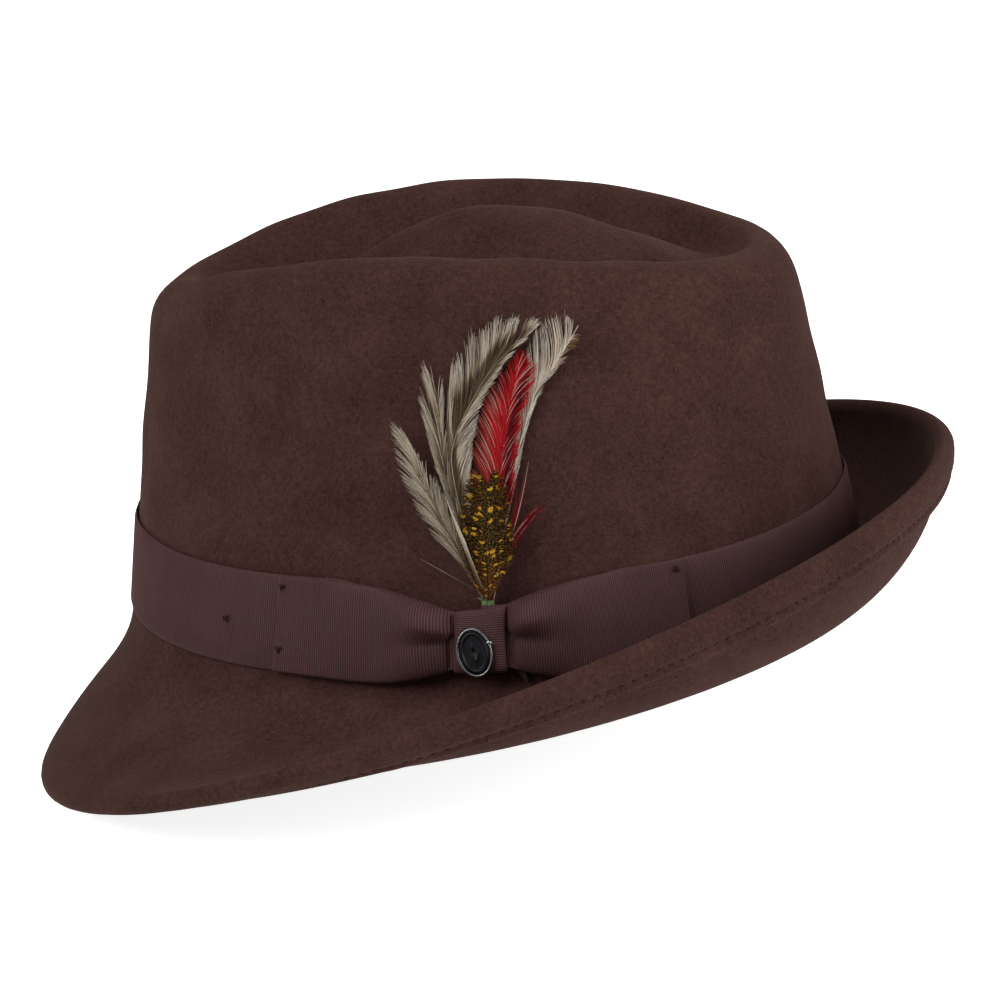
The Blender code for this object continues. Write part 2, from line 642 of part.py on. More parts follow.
def make_inside(t, leather, reed, satin, label):
    """Sweatband with its reed and small bow, lining in two pieces, and a blank label."""
    lining_out = FELT + GAP
    sweat_out = lining_out + LINING + GAP
    heights = (SWEAT_BOTTOM, (SWEAT_BOTTOM + SWEAT_TOP) / 2, SWEAT_TOP)
    rings = [inner_ring(t, h, sweat_out) for h in heights]
    rings += [inner_ring(t, h, sweat_out + SWEATBAND) for h in reversed(heights)]
    ring_solid("sweatband", rings, leather)
    reed_line = inner_ring(t, SWEAT_BOTTOM - GAP - REED_RADIUS, sweat_out + SWEATBAND / 2)
    ring_solid("sweatband_reed", tube_rings(reed_line, REED_RADIUS, 5, True), reed)
    heights = (LINING_BOTTOM, (LINING_BOTTOM + LINING_TIP) / 2, LINING_TIP + LINING)
    rings = [inner_ring(t, h, lining_out) for h in heights]
    rings += [inner_ring(t, h, lining_out + LINING) for h in reversed(heights)]
    ring_solid("lining_side", rings, satin)
    low = inner_ring(t, LINING_TIP, lining_out + LINING + GAP)
    thick = np.array([0.0, 0.0, LINING])
    middle = np.array([0.0, 0.0, LINING_TIP])
    capped_solid("lining_tip", [low, low + thick], middle, middle + thick, satin)
    inside = -(sweat_out + SWEATBAND + GAP)
    across = np.linspace(-1, 1, 9)[:, None]
    tall = np.linspace(-1, 1, 3)[None, :]
    half_height = SWEAT_BOW_HALF_HEIGHT[0] + SWEAT_BOW_HALF_HEIGHT[1] * np.abs(across) ** 0.8
    angle = SWEAT_BOW_ANGLE + INSIDE_HALF_ANGLE * across
    height = SWEAT_BOW_HEIGHT + half_height * tall
    back = on_wall(angle, height, inside)
    slab("sweatband_bow", back, on_wall(angle, height, inside - SWEAT_BOW_THICK), leather)
    inside = -(lining_out + LINING + GAP)
    angle = LABEL_ANGLE + INSIDE_HALF_ANGLE * across
    height = LABEL_HEIGHT + LABEL_HALF_HEIGHT * tall
    back = on_wall(angle, height, inside)
    slab("size_label", back, on_wall(angle, height, inside - LABEL_THICK), label)


def main():
    """Clears the scene and builds every piece."""
    for old in list(bpy.data.objects):
        bpy.data.objects.remove(old, do_unlink=True)
    t = np.arange(AROUND) * 2 * math.pi / AROUND
    felt = material("brown_felt", (0.055, 0.024, 0.019), 0.95)
    ribbon = material("brown_ribbon", (0.085, 0.045, 0.043), 0.7)
    thread = material("dark_thread", (0.030, 0.012, 0.011), 0.8)
    hackle = material("cream_hackle", (0.45, 0.36, 0.27), 0.7)
    red = material("red_feather", (0.35, 0.012, 0.018), 0.7)
    spotted = material("spotted_feather", (0.30, 0.18, 0.02), 0.7)
    tape = material("green_tape", (0.22, 0.34, 0.12), 0.6)
    black = material("black_enamel", (0.010, 0.009, 0.010), 0.25)
    silver = material("silver_metal", (0.60, 0.60, 0.60), 0.3, 1.0)
    leather = material("brown_leather", (0.10, 0.045, 0.025), 0.5)
    reed = material("reed_plastic", (0.12, 0.06, 0.04), 0.4)
    satin = material("dark_satin", (0.03, 0.018, 0.016), 0.4)
    label = material("label_cloth", (0.70, 0.68, 0.62), 0.8)
    make_felt_body(t, felt)
    make_welt_thread(t, thread)
    make_hatband(t, ribbon)
    make_loop("bow_front_loop", FOLD_FRONT, BOW_CENTRE - 0.3, ribbon)
    make_loop("bow_rear_loop", FOLD_REAR, BOW_CENTRE + 0.3, ribbon)
    make_knot(ribbon)
    make_tail(ribbon)
    make_tacks(thread)
    make_feathers(hackle, red, spotted)
    make_tape(tape)
    make_badge(black, silver)
    make_inside(t, leather, reed, satin, label)


main()
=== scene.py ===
"""Looks of a felt hat: soft felt, grosgrain band and bow, feather mount, pin badge, sweatband and lining.

Metres, +Z up along the crown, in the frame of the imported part. The front of the hat is -Y and the
wearer's left is +X. Angle t runs round the hat: 0 at the front, 90 degrees at the wearer's left.
"""

import math

import bpy
import numpy as np
from mathutils import Matrix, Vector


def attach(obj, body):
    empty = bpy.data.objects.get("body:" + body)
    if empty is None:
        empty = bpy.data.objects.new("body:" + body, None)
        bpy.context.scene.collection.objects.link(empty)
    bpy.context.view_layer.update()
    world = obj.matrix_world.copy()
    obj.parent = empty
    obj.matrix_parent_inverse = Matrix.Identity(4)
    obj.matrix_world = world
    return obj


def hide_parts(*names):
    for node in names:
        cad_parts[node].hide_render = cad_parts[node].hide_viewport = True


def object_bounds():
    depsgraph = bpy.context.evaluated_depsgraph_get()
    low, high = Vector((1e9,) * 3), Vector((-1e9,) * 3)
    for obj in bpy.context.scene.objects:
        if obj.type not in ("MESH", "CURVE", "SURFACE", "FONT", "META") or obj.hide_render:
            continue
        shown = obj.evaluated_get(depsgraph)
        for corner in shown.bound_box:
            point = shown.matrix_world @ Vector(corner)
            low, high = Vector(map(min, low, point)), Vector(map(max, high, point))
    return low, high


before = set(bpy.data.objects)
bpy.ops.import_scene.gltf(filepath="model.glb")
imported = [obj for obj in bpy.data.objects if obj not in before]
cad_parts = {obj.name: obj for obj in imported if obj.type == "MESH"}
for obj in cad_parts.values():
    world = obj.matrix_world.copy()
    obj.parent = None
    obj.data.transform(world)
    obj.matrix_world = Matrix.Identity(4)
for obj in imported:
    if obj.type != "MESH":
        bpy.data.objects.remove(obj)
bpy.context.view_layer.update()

# The block: plan at the break, ridge round the sunken top, and the top itself.
BREAK_HALF_LENGTH = 0.106
BREAK_HALF_WIDTH = 0.0885
BREAK_POWER = 2.12
BREAK_EGG = 0.058
BREAK_WAVE = (0.0012, 0.0006)
RIDGE_HALF_LENGTH = 0.0816
RIDGE_HALF_WIDTH = 0.0489
RIDGE_POWER = 1.97
RIDGE_EGG = 0.036
RIDGE_HEIGHT = (0.1095, -0.0032, -0.0187, 0.0071)
RIDGE_RADIUS = 0.0117
WALL_BULGE = 0.005
GROOVE_PLACE = (0.300, 0.055, -0.115)
GROOVE_DEPTH = (0.0155, 0.0035, -0.0065)
DOME_HEIGHT = 0.1118
DOME_CENTRE_Y = 0.008
DOME_ROUNDNESS = 0.7

# The brim, as series in cos(k t).
BRIM_WIDTH = (0.0489, 0.0037, -0.0041, -0.0036)
BRIM_START = (-0.578, -0.706, 0.122, -0.185, -0.094)
BRIM_END = (0.614, -1.432, -0.412, 0.145, -0.016)
BRIM_MIDDLE = (0.160, 0.108, 0.141, 0.021)

# Cloth.
FELT = 0.0028
FILLET = 0.0032
WELT = 0.0055
WELT_WIDTH = 0.0095
STITCH_INSET = 0.0021
STITCH_COUNT = 250
STITCH_REACH = 0.36
STITCH_SINK = 0.00045
RIB_PITCH = 0.0007
RIB_HEIGHT = 0.00018
GAP = 0.0003

# Hatband and bow.
BAND_BOTTOM = 0.0029
BAND_WIDTH = 0.0254
BAND_LENGTH = 0.6105
BAND_DIP = 0.0095
BAND_LIFT = 0.0042
BOW_CENTRE = 97.4
KNOT_HALF_ANGLE = 3.6
KNOT_BOTTOM = 0.0045
KNOT_TOP = 0.0220
KNOT_BACK = 0.0018
KNOT_FRONT = 0.0069
KNOT_RIBS = 65
FOLD_FRONT = 66.4
LOOP_TOP = 0.0284
FOLD_REAR = 129.2
METRES_PER_DEGREE = 0.00196
TAIL_LENGTH = 0.0055
TACK_PLACES = ((67.0, 0.0252, 0.0030), (67.0, 0.0088, 0.0030), (55.6, 0.0147, 0.0017),
               (128.1, 0.0260, 0.0030), (102.4, 0.0205, 0.0074))
TACK_REACH = 0.0009
TACK_THREAD = 0.00020

# Feather mount and badge.
STEM_ANGLE = 98.5
STEM_BOTTOM = 0.0055
STEM_TOP = 0.0228
FLARE_START = 0.0190
FLARE_RUN = 0.0030
TAPE_PITCH = 0.0013
TAPE_THICKNESS = 0.00010
BASE = STEM_TOP + 0.0001
BADGE_ANGLE = 96.6
BADGE_HEIGHT = 0.0098
BADGE_OUT = 0.0073
BADGE_HALF_WIDTH = 0.0049
BADGE_HALF_HEIGHT = 0.0067
BADGE_TILT = 12.0

# Inside.
SWEAT_BOTTOM = 0.0030
SWEAT_TOP = 0.0350
SWEATBAND = 0.0012
REED_RADIUS = 0.0009
LINING = 0.0005
LINING_BOTTOM = 0.0250
LINING_TIP = 0.0770
LINED = FELT + GAP + LINING + GAP

random = np.random.default_rng(7)


# ---------------------------------------------------------------------------------------------------
# The block's surfaces
# ---------------------------------------------------------------------------------------------------

def series(coefficients, t):
    """Sum of c_k cos(k t)."""
    return sum(c * np.cos(k * t) for k, c in enumerate(coefficients))


def ease(share):
    """3 s squared - 2 s cubed of a share held between 0 and 1."""
    share = np.clip(share, 0, 1)
    return share * share * (3 - 2 * share)


def turns(count):
    """Even angles round a full turn."""
    return np.arange(count) * 2 * math.pi / count


def unit(vectors):
    """Vectors shortened or lengthened to 1."""
    return vectors / np.maximum(np.linalg.norm(vectors, axis=-1, keepdims=True), 1e-12)


def bell(x, centre, width):
    """exp of minus the squared distance from the centre in widths."""
    return np.exp(-((x - centre) / width) ** 2)


def power_circle(t, power):
    """Cosine and sine of a superellipse: sign times the size to the power of 2 over its exponent."""
    c, s = np.cos(t), np.sin(t)
    return np.sign(c) * np.abs(c) ** (2 / power), np.sign(s) * np.abs(s) ** (2 / power)


def break_line(t):
    """Outer edge of the crown at the break: a superellipse narrower in front, rising and falling."""
    c, s = power_circle(t, BREAK_POWER)
    x = BREAK_HALF_WIDTH * s * (1 - BREAK_EGG * np.cos(t))
    z = BREAK_WAVE[0] * np.cos(2 * t) + BREAK_WAVE[1] * np.cos(4 * t)
    return np.stack([x, -BREAK_HALF_LENGTH * c, z], -1)


def ridge_line(t):
    """Top edge of the crown: a superellipse whose height is a cubic in y."""
    c, s = power_circle(t, RIDGE_POWER)
    x = RIDGE_HALF_WIDTH * s * (1 - RIDGE_EGG * np.cos(t))
    y = -RIDGE_HALF_LENGTH * c
    z = sum(h * (y / 0.1) ** k for k, h in enumerate(RIDGE_HEIGHT))
    return np.stack([x, y, z], -1)


def plan_normal(line, t):
    """Outward horizontal normal of a closed line, from a small step either side of t."""
    step = 1e-3
    along = line(t + step) - line(t - step)
    normal = unit(np.stack([-along[..., 1], along[..., 0], np.zeros_like(t)], -1))
    centre = line(t) * np.array([1.0, 1.0, 0.0])
    return normal * np.sign((normal * centre).sum(-1, keepdims=True))


def shoulder_line(t):
    """Where the rounded ridge meets the wall: one radius out from the ridge and one below it."""
    return ridge_line(t) + RIDGE_RADIUS * (plan_normal(ridge_line, t) - np.array([0.0, 0.0, 1.0]))


def wall(t, v):
    """Crown wall: straight from the break (v = 0) to the shoulder (v = 1), with a slight bulge."""
    t, v = np.broadcast_arrays(np.asarray(t, float), np.asarray(v, float))
    low, high = break_line(t), shoulder_line(t)
    share = v - WALL_BULGE * v * (1 - v)
    point = low * (1 - share[..., None]) + high * share[..., None]
    point[..., 2] = low[..., 2] + (high[..., 2] - low[..., 2]) * v
    return point


def wall_normal(t, v):
    """Outward normal of the wall, across small steps in t and v."""
    step = 1e-3
    return unit(np.cross(wall(t + step, v) - wall(t - step, v), wall(t, v + step) - wall(t, v - step)))


def on_wall(angle, height, out, level=0.0):
    """A point near the wall: degrees round the hat, height above the break (or above z = 0 where level
    is 1) and distance out from the felt."""
    angle, height, out = np.broadcast_arrays(*(np.asarray(a, float) for a in (angle, height, out)))
    t = np.radians(angle)
    low, high = break_line(t)[..., 2], shoulder_line(t)[..., 2]
    v = (height - level * low) / (high - low)
    return wall(t, v) + out[..., None] * wall_normal(t, v)


def brim(t, s, down):
    """Brim point at share s of the width, down below the top face. The slope goes from its start to its
    end value along the width plus its middle value times 4 s (1 - s), and the profile is the running
    sum of the slope's cosine outward and its sine upward."""
    steps = 160
    width = series(BRIM_WIDTH, t)[:, None]
    start, end, middle = (series(c, t)[:, None] for c in (BRIM_START, BRIM_END, BRIM_MIDDLE))
    share = np.linspace(0, 1, steps + 1)[None, :]
    slope = start + (end - start) * share ** 1.05 + middle * 4 * share * (1 - share)
    mid = (slope[:, 1:] + slope[:, :-1]) / 2
    zero = np.zeros((len(t), 1))
    out = np.concatenate([zero, np.cumsum(np.cos(mid), 1)], 1) * width / steps
    up = np.concatenate([zero, np.cumsum(np.sin(mid), 1)], 1) * width / steps
    place = np.clip(s * steps, 0, steps) * np.ones(len(t))
    index = np.clip(np.floor(place).astype(int), 0, steps - 1)
    part = place - index
    row = np.arange(len(t))

    def read(values):
        return values[row, index] * (1 - part) + values[row, index + 1] * part

    r = read(out) + np.sin(read(slope)) * down
    point = break_line(t) + plan_normal(break_line, t) * r[:, None]
    point[:, 2] += read(up) - np.cos(read(slope)) * down
    return point


def crown_top(t, u):
    """The sunken top: u = 0 on the ridge and 1 at the centre of the dome. The height falls to the groove
    on half a cosine wave and climbs to the dome on a blend of a quarter sine and half a cosine wave."""
    ridge = ridge_line(t)
    place = series(GROOVE_PLACE, t)
    floor = ridge[:, 2] - series(GROOVE_DEPTH, t)
    u = u * np.ones_like(t)
    point = ridge * (1 - u[:, None])
    point[:, 1] += DOME_CENTRE_Y * u
    fall = (1 - np.cos(math.pi * np.clip(u / place, 0, 1))) / 2
    climb = np.clip((u - place) / (1 - place), 0, 1)
    sine, wave = np.sin(math.pi * climb / 2), (1 - np.cos(math.pi * climb)) / 2
    rise = DOME_ROUNDNESS * sine + (1 - DOME_ROUNDNESS) * wave
    point[:, 2] = np.where(u < place, ridge[:, 2] + (floor - ridge[:, 2]) * fall,
                           floor + (DOME_HEIGHT - floor) * rise)
    return point


# ---------------------------------------------------------------------------------------------------
# Meshes
# ---------------------------------------------------------------------------------------------------

def grid_faces(rows, columns, wrap_rows=False, wrap_columns=False):
    """Quads of a grid of points, row by row, closed round in either direction where asked."""
    i = np.arange(rows if wrap_rows else rows - 1)[:, None]
    j = np.arange(columns if wrap_columns else columns - 1)[None, :]
    k, m = (j + 1) % columns, (i + 1) % rows
    corners = (i * columns + j, i * columns + k, m * columns + k, m * columns + j)
    return np.stack(np.broadcast_arrays(*corners), -1).reshape(-1, 4)


def make_piece(name, points, faces, finish, body, replaced, uv=None, values=None):
    """A mesh object from points and a list of face arrays, turned outwards by its signed volume, with
    its place in the UV map and its point values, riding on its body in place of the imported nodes."""
    points = np.asarray(points, float).reshape(-1, 3)
    faces = [np.asarray(f) for f in faces if len(f)]
    volume = sum(np.einsum("ij,ij->", points[f[:, 0]], np.cross(points[f[:, k]], points[f[:, k + 1]]))
                 for f in faces for k in range(1, f.shape[1] - 1))
    if volume < 0:
        faces = [f[:, ::-1] for f in faces]
    corners = np.concatenate([f.ravel() for f in faces])
    sizes = np.concatenate([np.full(len(f), f.shape[1]) for f in faces])
    mesh = bpy.data.meshes.new(name)
    mesh.vertices.add(len(points))
    mesh.vertices.foreach_set("co", points.ravel())
    mesh.loops.add(len(corners))
    mesh.loops.foreach_set("vertex_index", corners)
    mesh.polygons.add(len(sizes))
    mesh.polygons.foreach_set("loop_start", np.concatenate([[0], np.cumsum(sizes)[:-1]]))
    mesh.polygons.foreach_set("loop_total", sizes)
    mesh.update(calc_edges=True)
    if uv is not None:
        layer = mesh.uv_layers.new(name="cloth")
        layer.data.foreach_set("uv", np.asarray(uv, float).reshape(-1, 2)[corners].ravel())
    for key, value in (values or {}).items():
        attribute = mesh.attributes.new(key, "FLOAT", "POINT")
        attribute.data.foreach_set("value", np.asarray(value, float).ravel())
    mesh.shade_smooth()
    mesh.materials.append(finish)
    piece = bpy.data.objects.new(name, mesh)
    bpy.context.scene.collection.objects.link(piece)
    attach(piece, body)
    if replaced:
        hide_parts(*replaced)
    return piece


def grid_normals(grid, wrap_rows=False, wrap_columns=False):
    """Unit normals of a grid of points, from the steps to the neighbours along and across."""
    def step(axis, wrap):
        if wrap:
            return np.roll(grid, -1, axis) - np.roll(grid, 1, axis)
        return np.gradient(grid, axis=axis)

    return unit(np.cross(step(0, wrap_rows), step(1, wrap_columns)))


def sheet_faces(rows, columns):
    """Faces of a cloth sheet with thickness: front grid, back grid and the strip round their edges."""
    size = rows * columns
    front = grid_faces(rows, columns)
    edge = np.concatenate([np.arange(columns), np.arange(1, rows) * columns + columns - 1,
                           (rows - 1) * columns + np.arange(columns - 2, -1, -1),
                           np.arange(rows - 2, 0, -1) * columns])
    following = np.roll(edge, -1)
    rim = np.stack([following, edge, edge + size, following + size], -1)
    return [front, front[:, ::-1] + size, rim]


def thick_sheet(middle, thickness):
    """Front and back of a cloth sheet: its middle grid moved half the thickness either way."""
    normal = grid_normals(middle) * (np.asarray(thickness) / 2)[..., None]
    return np.concatenate([(middle + normal).reshape(-1, 3), (middle - normal).reshape(-1, 3)])


def tube_points(path, radius, sides, closed):
    """Rings of points round a path, each square to it, starting at the side that the cross product of
    the path's direction and the vertical points to."""
    path = np.asarray(path)
    along = np.roll(path, -1, 0) - np.roll(path, 1, 0) if closed else np.gradient(path, axis=0)
    along = unit(along)
    side = unit(np.cross(along, [0.05, 0.03, 1.0]))
    up = np.cross(side, along)
    turn = turns(sides)
    radius = (np.asarray(radius) * np.ones(len(path)))[:, None, None]
    return path[:, None] + radius * (np.cos(turn)[None, :, None] * side[:, None]
                                     + np.sin(turn)[None, :, None] * up[:, None])


def tube_faces(rings, sides, count=1):
    """Faces of tubes laid one after another: their walls, and one flat face over each end."""
    shift = (np.arange(count) * rings * sides)[:, None, None]
    ends = np.arange(sides)[None, ::-1], (rings - 1) * sides + np.arange(sides)[None, :]
    return [(part[None] + shift).reshape(-1, part.shape[1])
            for part in (grid_faces(rings, sides, False, True), *ends)]


def end_fans(columns, size):
    """Triangles from the first ring of a grid to the point after its last, and from its last ring to
    the point after that one."""
    j = np.arange(columns)
    k = (j + 1) % columns
    last = size - columns
    return [np.stack([k, j, np.full(columns, size)], -1),
            np.stack([last + j, last + k, np.full(columns, size + 1)], -1)]


# ---------------------------------------------------------------------------------------------------
# Finishes
# ---------------------------------------------------------------------------------------------------

def add_node(tree, kind, inputs=None, **settings):
    """A shader node with its settings; each input is a number, a colour or another node's output."""
    made = tree.nodes.new(kind)
    for key, value in settings.items():
        setattr(made, key, value)
    for key, value in (inputs or {}).items():
        if isinstance(value, bpy.types.NodeSocket):
            tree.links.new(value, made.inputs[key])
        else:
            made.inputs[key].default_value = value
    return made


def new_group(name, inputs, outputs):
    """An empty shader node group with named float, colour and vector sockets."""
    tree = bpy.data.node_groups.new(name, "ShaderNodeTree")
    kinds = {"float": "NodeSocketFloat", "colour": "NodeSocketColor", "vector": "NodeSocketVector"}
    for key, kind, value in inputs:
        socket = tree.interface.new_socket(key, in_out="INPUT", socket_type=kinds[kind])
        socket.default_value = value
    for key, kind in outputs:
        tree.interface.new_socket(key, in_out="OUTPUT", socket_type=kinds[kind])
    return tree, add_node(tree, "NodeGroupInput"), add_node(tree, "NodeGroupOutput")


def maths(tree, operation, *values):
    """The output of a Math node."""
    return add_node(tree, "ShaderNodeMath", dict(enumerate(values)), operation=operation).outputs[0]


def noise(tree, vector, scale, detail=2.0, roughness=0.5):
    """The value of a noise texture."""
    inputs = {"Vector": vector, "Scale": scale, "Detail": detail, "Roughness": roughness}
    return add_node(tree, "ShaderNodeTexNoise", inputs).outputs["Fac"]


def ramp(tree, factor, stops):
    """A colour ramp through (position, colour) stops."""
    made = add_node(tree, "ShaderNodeValToRGB", {"Fac": factor})
    elements = made.color_ramp.elements
    while len(elements) < len(stops):
        elements.new(0.5)
    for element, (position, colour) in zip(elements, stops):
        element.position = position
        element.color = (*colour, 1.0)
    return made.outputs["Color"]


def mix(tree, factor, first, second, blend="MIX"):
    """Two colours mixed."""
    made = add_node(tree, "ShaderNodeMix", data_type="RGBA", blend_type=blend)
    for key, value in ((0, factor), (6, first), (7, second)):
        if isinstance(value, bpy.types.NodeSocket):
            tree.links.new(value, made.inputs[key])
        else:
            made.inputs[key].default_value = value if key == 0 else (*value[:3], 1.0)
    return made.outputs[2]


def build_cloud_group():
    """Cloud: slow and quick noise added, which puts out a mask that is about half everywhere."""
    inputs = [("Vector", "vector", (0, 0, 0)), ("Slow Scale", "float", 80.0),
              ("Quick Scale", "float", 900.0), ("Quick Share", "float", 0.5)]
    tree, given, result = new_group("cloud", inputs, [("Mask", "float")])
    slow = noise(tree, given.outputs["Vector"], given.outputs["Slow Scale"], 3.0)
    quick = noise(tree, given.outputs["Vector"], given.outputs["Quick Scale"], 3.0, 0.65)
    shares = {0: given.outputs["Quick Share"], 2: slow, 3: quick}
    mixed = add_node(tree, "ShaderNodeMix", shares, data_type="FLOAT")
    tree.links.new(mixed.outputs[0], result.inputs["Mask"])
    return tree


def build_fuzz_group():
    """Fuzz: short fibres as noise drawn out in three directions, as a mask and a height."""
    inputs = [("Vector", "vector", (0, 0, 0)), ("Scale", "float", 1500.0)]
    tree, given, result = new_group("fuzz", inputs, [("Mask", "float"), ("Height", "float")])
    fibres = []
    for turn, stretch in (((0.4, 0.2, 0.6), (1.0, 0.45, 1.0)), ((1.3, 0.9, 0.1), (0.5, 1.0, 1.0)),
                          ((0.2, 1.4, 1.1), (1.0, 1.0, 0.5))):
        turned = add_node(tree, "ShaderNodeMapping", {"Vector": given.outputs["Vector"], "Rotation": turn,
                                                       "Scale": stretch})
        fibres.append(noise(tree, turned.outputs[0], given.outputs["Scale"], 2.0, 0.6))
    high = maths(tree, "MAXIMUM", maths(tree, "MAXIMUM", fibres[0], fibres[1]), fibres[2])
    tree.links.new(high, result.inputs["Height"])
    tree.links.new(maths(tree, "MULTIPLY_ADD", high, 3.0, -1.25), result.inputs["Mask"])
    return tree


def place_group(tree, group, inputs):
    """One use of a node group with its own values."""
    made = tree.nodes.new("ShaderNodeGroup")
    made.node_tree = group
    for key, value in inputs.items():
        if isinstance(value, bpy.types.NodeSocket):
            tree.links.new(value, made.inputs[key])
        else:
            made.inputs[key].default_value = value
    return made


def new_finish(name, **constants):
    """A material with one Principled shader; the constants go on the shader's own sockets."""
    finish = bpy.data.materials.new(name)
    finish.use_nodes = True
    tree = finish.node_tree
    shader = tree.nodes["Principled BSDF"]
    for key, value in constants.items():
        shader.inputs[key.replace("_", " ")].default_value = value
    return finish, tree, shader


def set_bump(tree, shader, height, distance, strength=1.0):
    """A height that feeds the shader's normal through a Bump node."""
    bump = add_node(tree, "ShaderNodeBump", {"Height": height, "Distance": distance, "Strength": strength})
    tree.links.new(bump.outputs[0], shader.inputs["Normal"])


def object_place(tree):
    """Coordinates on the object, in metres."""
    return add_node(tree, "ShaderNodeTexCoord").outputs["Object"]


def cloth_place(tree):
    """The piece's own UV map, in millimetres along and across the cloth."""
    return add_node(tree, "ShaderNodeUVMap", uv_map="cloth").outputs[0]


def point_value(tree, name):
    """A value stored on the mesh's points."""
    return add_node(tree, "ShaderNodeAttribute", attribute_name=name).outputs["Fac"]


def cloud_mask(tree, place, slow, quick, share):
    """The mask of one use of the cloud group, from its two noise scales and the quick noise's share."""
    inputs = {"Vector": place, "Slow Scale": slow, "Quick Scale": quick, "Quick Share": share}
    return place_group(tree, cloud_group, inputs).outputs["Mask"]


def colour_wave(tree, place, scale, direction, **inputs):
    """The value of a wave texture whose bands run in the given direction."""
    sockets = {"Vector": place, "Scale": scale, **inputs}
    return add_node(tree, "ShaderNodeTexWave", sockets, bands_direction=direction).outputs["Fac"]


def feed(tree, shader, colour, roughness=None):
    """Lead a colour, and a roughness where there is one, into the shader."""
    tree.links.new(colour, shader.inputs["Base Color"])
    if roughness is not None:
        tree.links.new(roughness, shader.inputs["Roughness"])


cloud_group = build_cloud_group()
fuzz_group = build_fuzz_group()


def felt_finish():
    """Wool felt: slow mottling, quick fleck and short fibres."""
    finish, tree, shader = new_finish("brown_felt", Roughness=0.95, Sheen_Weight=0.06, Sheen_Roughness=0.5,
                                      Sheen_Tint=(0.70, 0.42, 0.34, 1.0), Specular_IOR_Level=0.05)
    place = object_place(tree)
    fuzz = place_group(tree, fuzz_group, {"Vector": place, "Scale": 1500.0})
    stops = [(0.34, (0.0140, 0.0048, 0.0040)), (0.50, (0.0245, 0.0094, 0.0076)),
             (0.66, (0.0410, 0.0182, 0.0146))]
    base = ramp(tree, cloud_mask(tree, place, 60.0, 620.0, 0.55), stops)
    feed(tree, shader, mix(tree, maths(tree, "MULTIPLY", fuzz.outputs["Mask"], 0.45), base,
                           (0.066, 0.034, 0.028)))
    set_bump(tree, shader, fuzz.outputs["Height"], 0.0006, 0.55)
    return finish


def ribbon_finish():
    """Grosgrain: silky ribs with painted shade darkening the grooves between them, with the fine warp lines
    that cross them.
    """
    finish, tree, shader = new_finish("brown_ribbon", Sheen_Weight=0.02, Sheen_Roughness=0.3,
                                      Sheen_Tint=(0.75, 0.50, 0.52, 1.0), Specular_IOR_Level=0.09)
    place = cloth_place(tree)
    warp = colour_wave(tree, place, 0.75, "Y", Distortion=0.6, Detail=1.0)
    cloud = cloud_mask(tree, place, 0.06, 1.3, 0.5)
    base = ramp(tree, cloud, [(0.3, (0.056, 0.0235, 0.0240)), (0.7, (0.084, 0.0375, 0.0375))])
    # painted shade: the colour goes most of the way to near black in the grooves between the ribs, where
    # shade would fall
    painted_rib_shade = maths(tree, "MULTIPLY_ADD", point_value(tree, "rib"), -0.85, 0.85)
    feed(tree, shader, mix(tree, painted_rib_shade, base, (0.010, 0.0035, 0.004)),
         maths(tree, "MULTIPLY_ADD", cloud, 0.25, 0.42))
    set_bump(tree, shader, warp, 0.00005, 0.5)
    return finish


def thread_finish():
    """Twisted thread: dark, with a slanting lay."""
    finish, tree, shader = new_finish("dark_thread", Roughness=0.8, Specular_IOR_Level=0.1)
    lay = colour_wave(tree, object_place(tree), 900.0, "DIAGONAL", Distortion=1.5)
    feed(tree, shader, ramp(tree, lay, [(0.0, (0.008, 0.003, 0.0025)), (1.0, (0.030, 0.012, 0.010))]))
    set_bump(tree, shader, lay, 0.00005)
    return finish


def barb_finish(name, stops, odd, odd_share, roughness=0.45):
    """Feather barbs coloured from shaft to tip by a ramp, each a little lighter or darker by chance,
    with a share of odd barbs in another colour."""
    finish, tree, shader = new_finish(name, Specular_IOR_Level=0.06)
    chance = point_value(tree, "chance")
    shade = maths(tree, "SUBTRACT", point_value(tree, "shade"), 0.08)
    base = ramp(tree, maths(tree, "MULTIPLY_ADD", chance, 0.16, shade), stops)
    lighter = maths(tree, "MULTIPLY_ADD", point_value(tree, "tone"), 0.9, 0.5)
    grey = add_node(tree, "ShaderNodeCombineColor", {0: lighter, 1: lighter, 2: lighter}).outputs[0]
    toned = mix(tree, 1.0, base, grey, "MULTIPLY")
    grain = noise(tree, object_place(tree), 2500.0)
    feed(tree, shader, mix(tree, maths(tree, "LESS_THAN", chance, odd_share), toned, odd),
         maths(tree, "MULTIPLY_ADD", grain, 0.3, roughness - 0.15))
    return finish


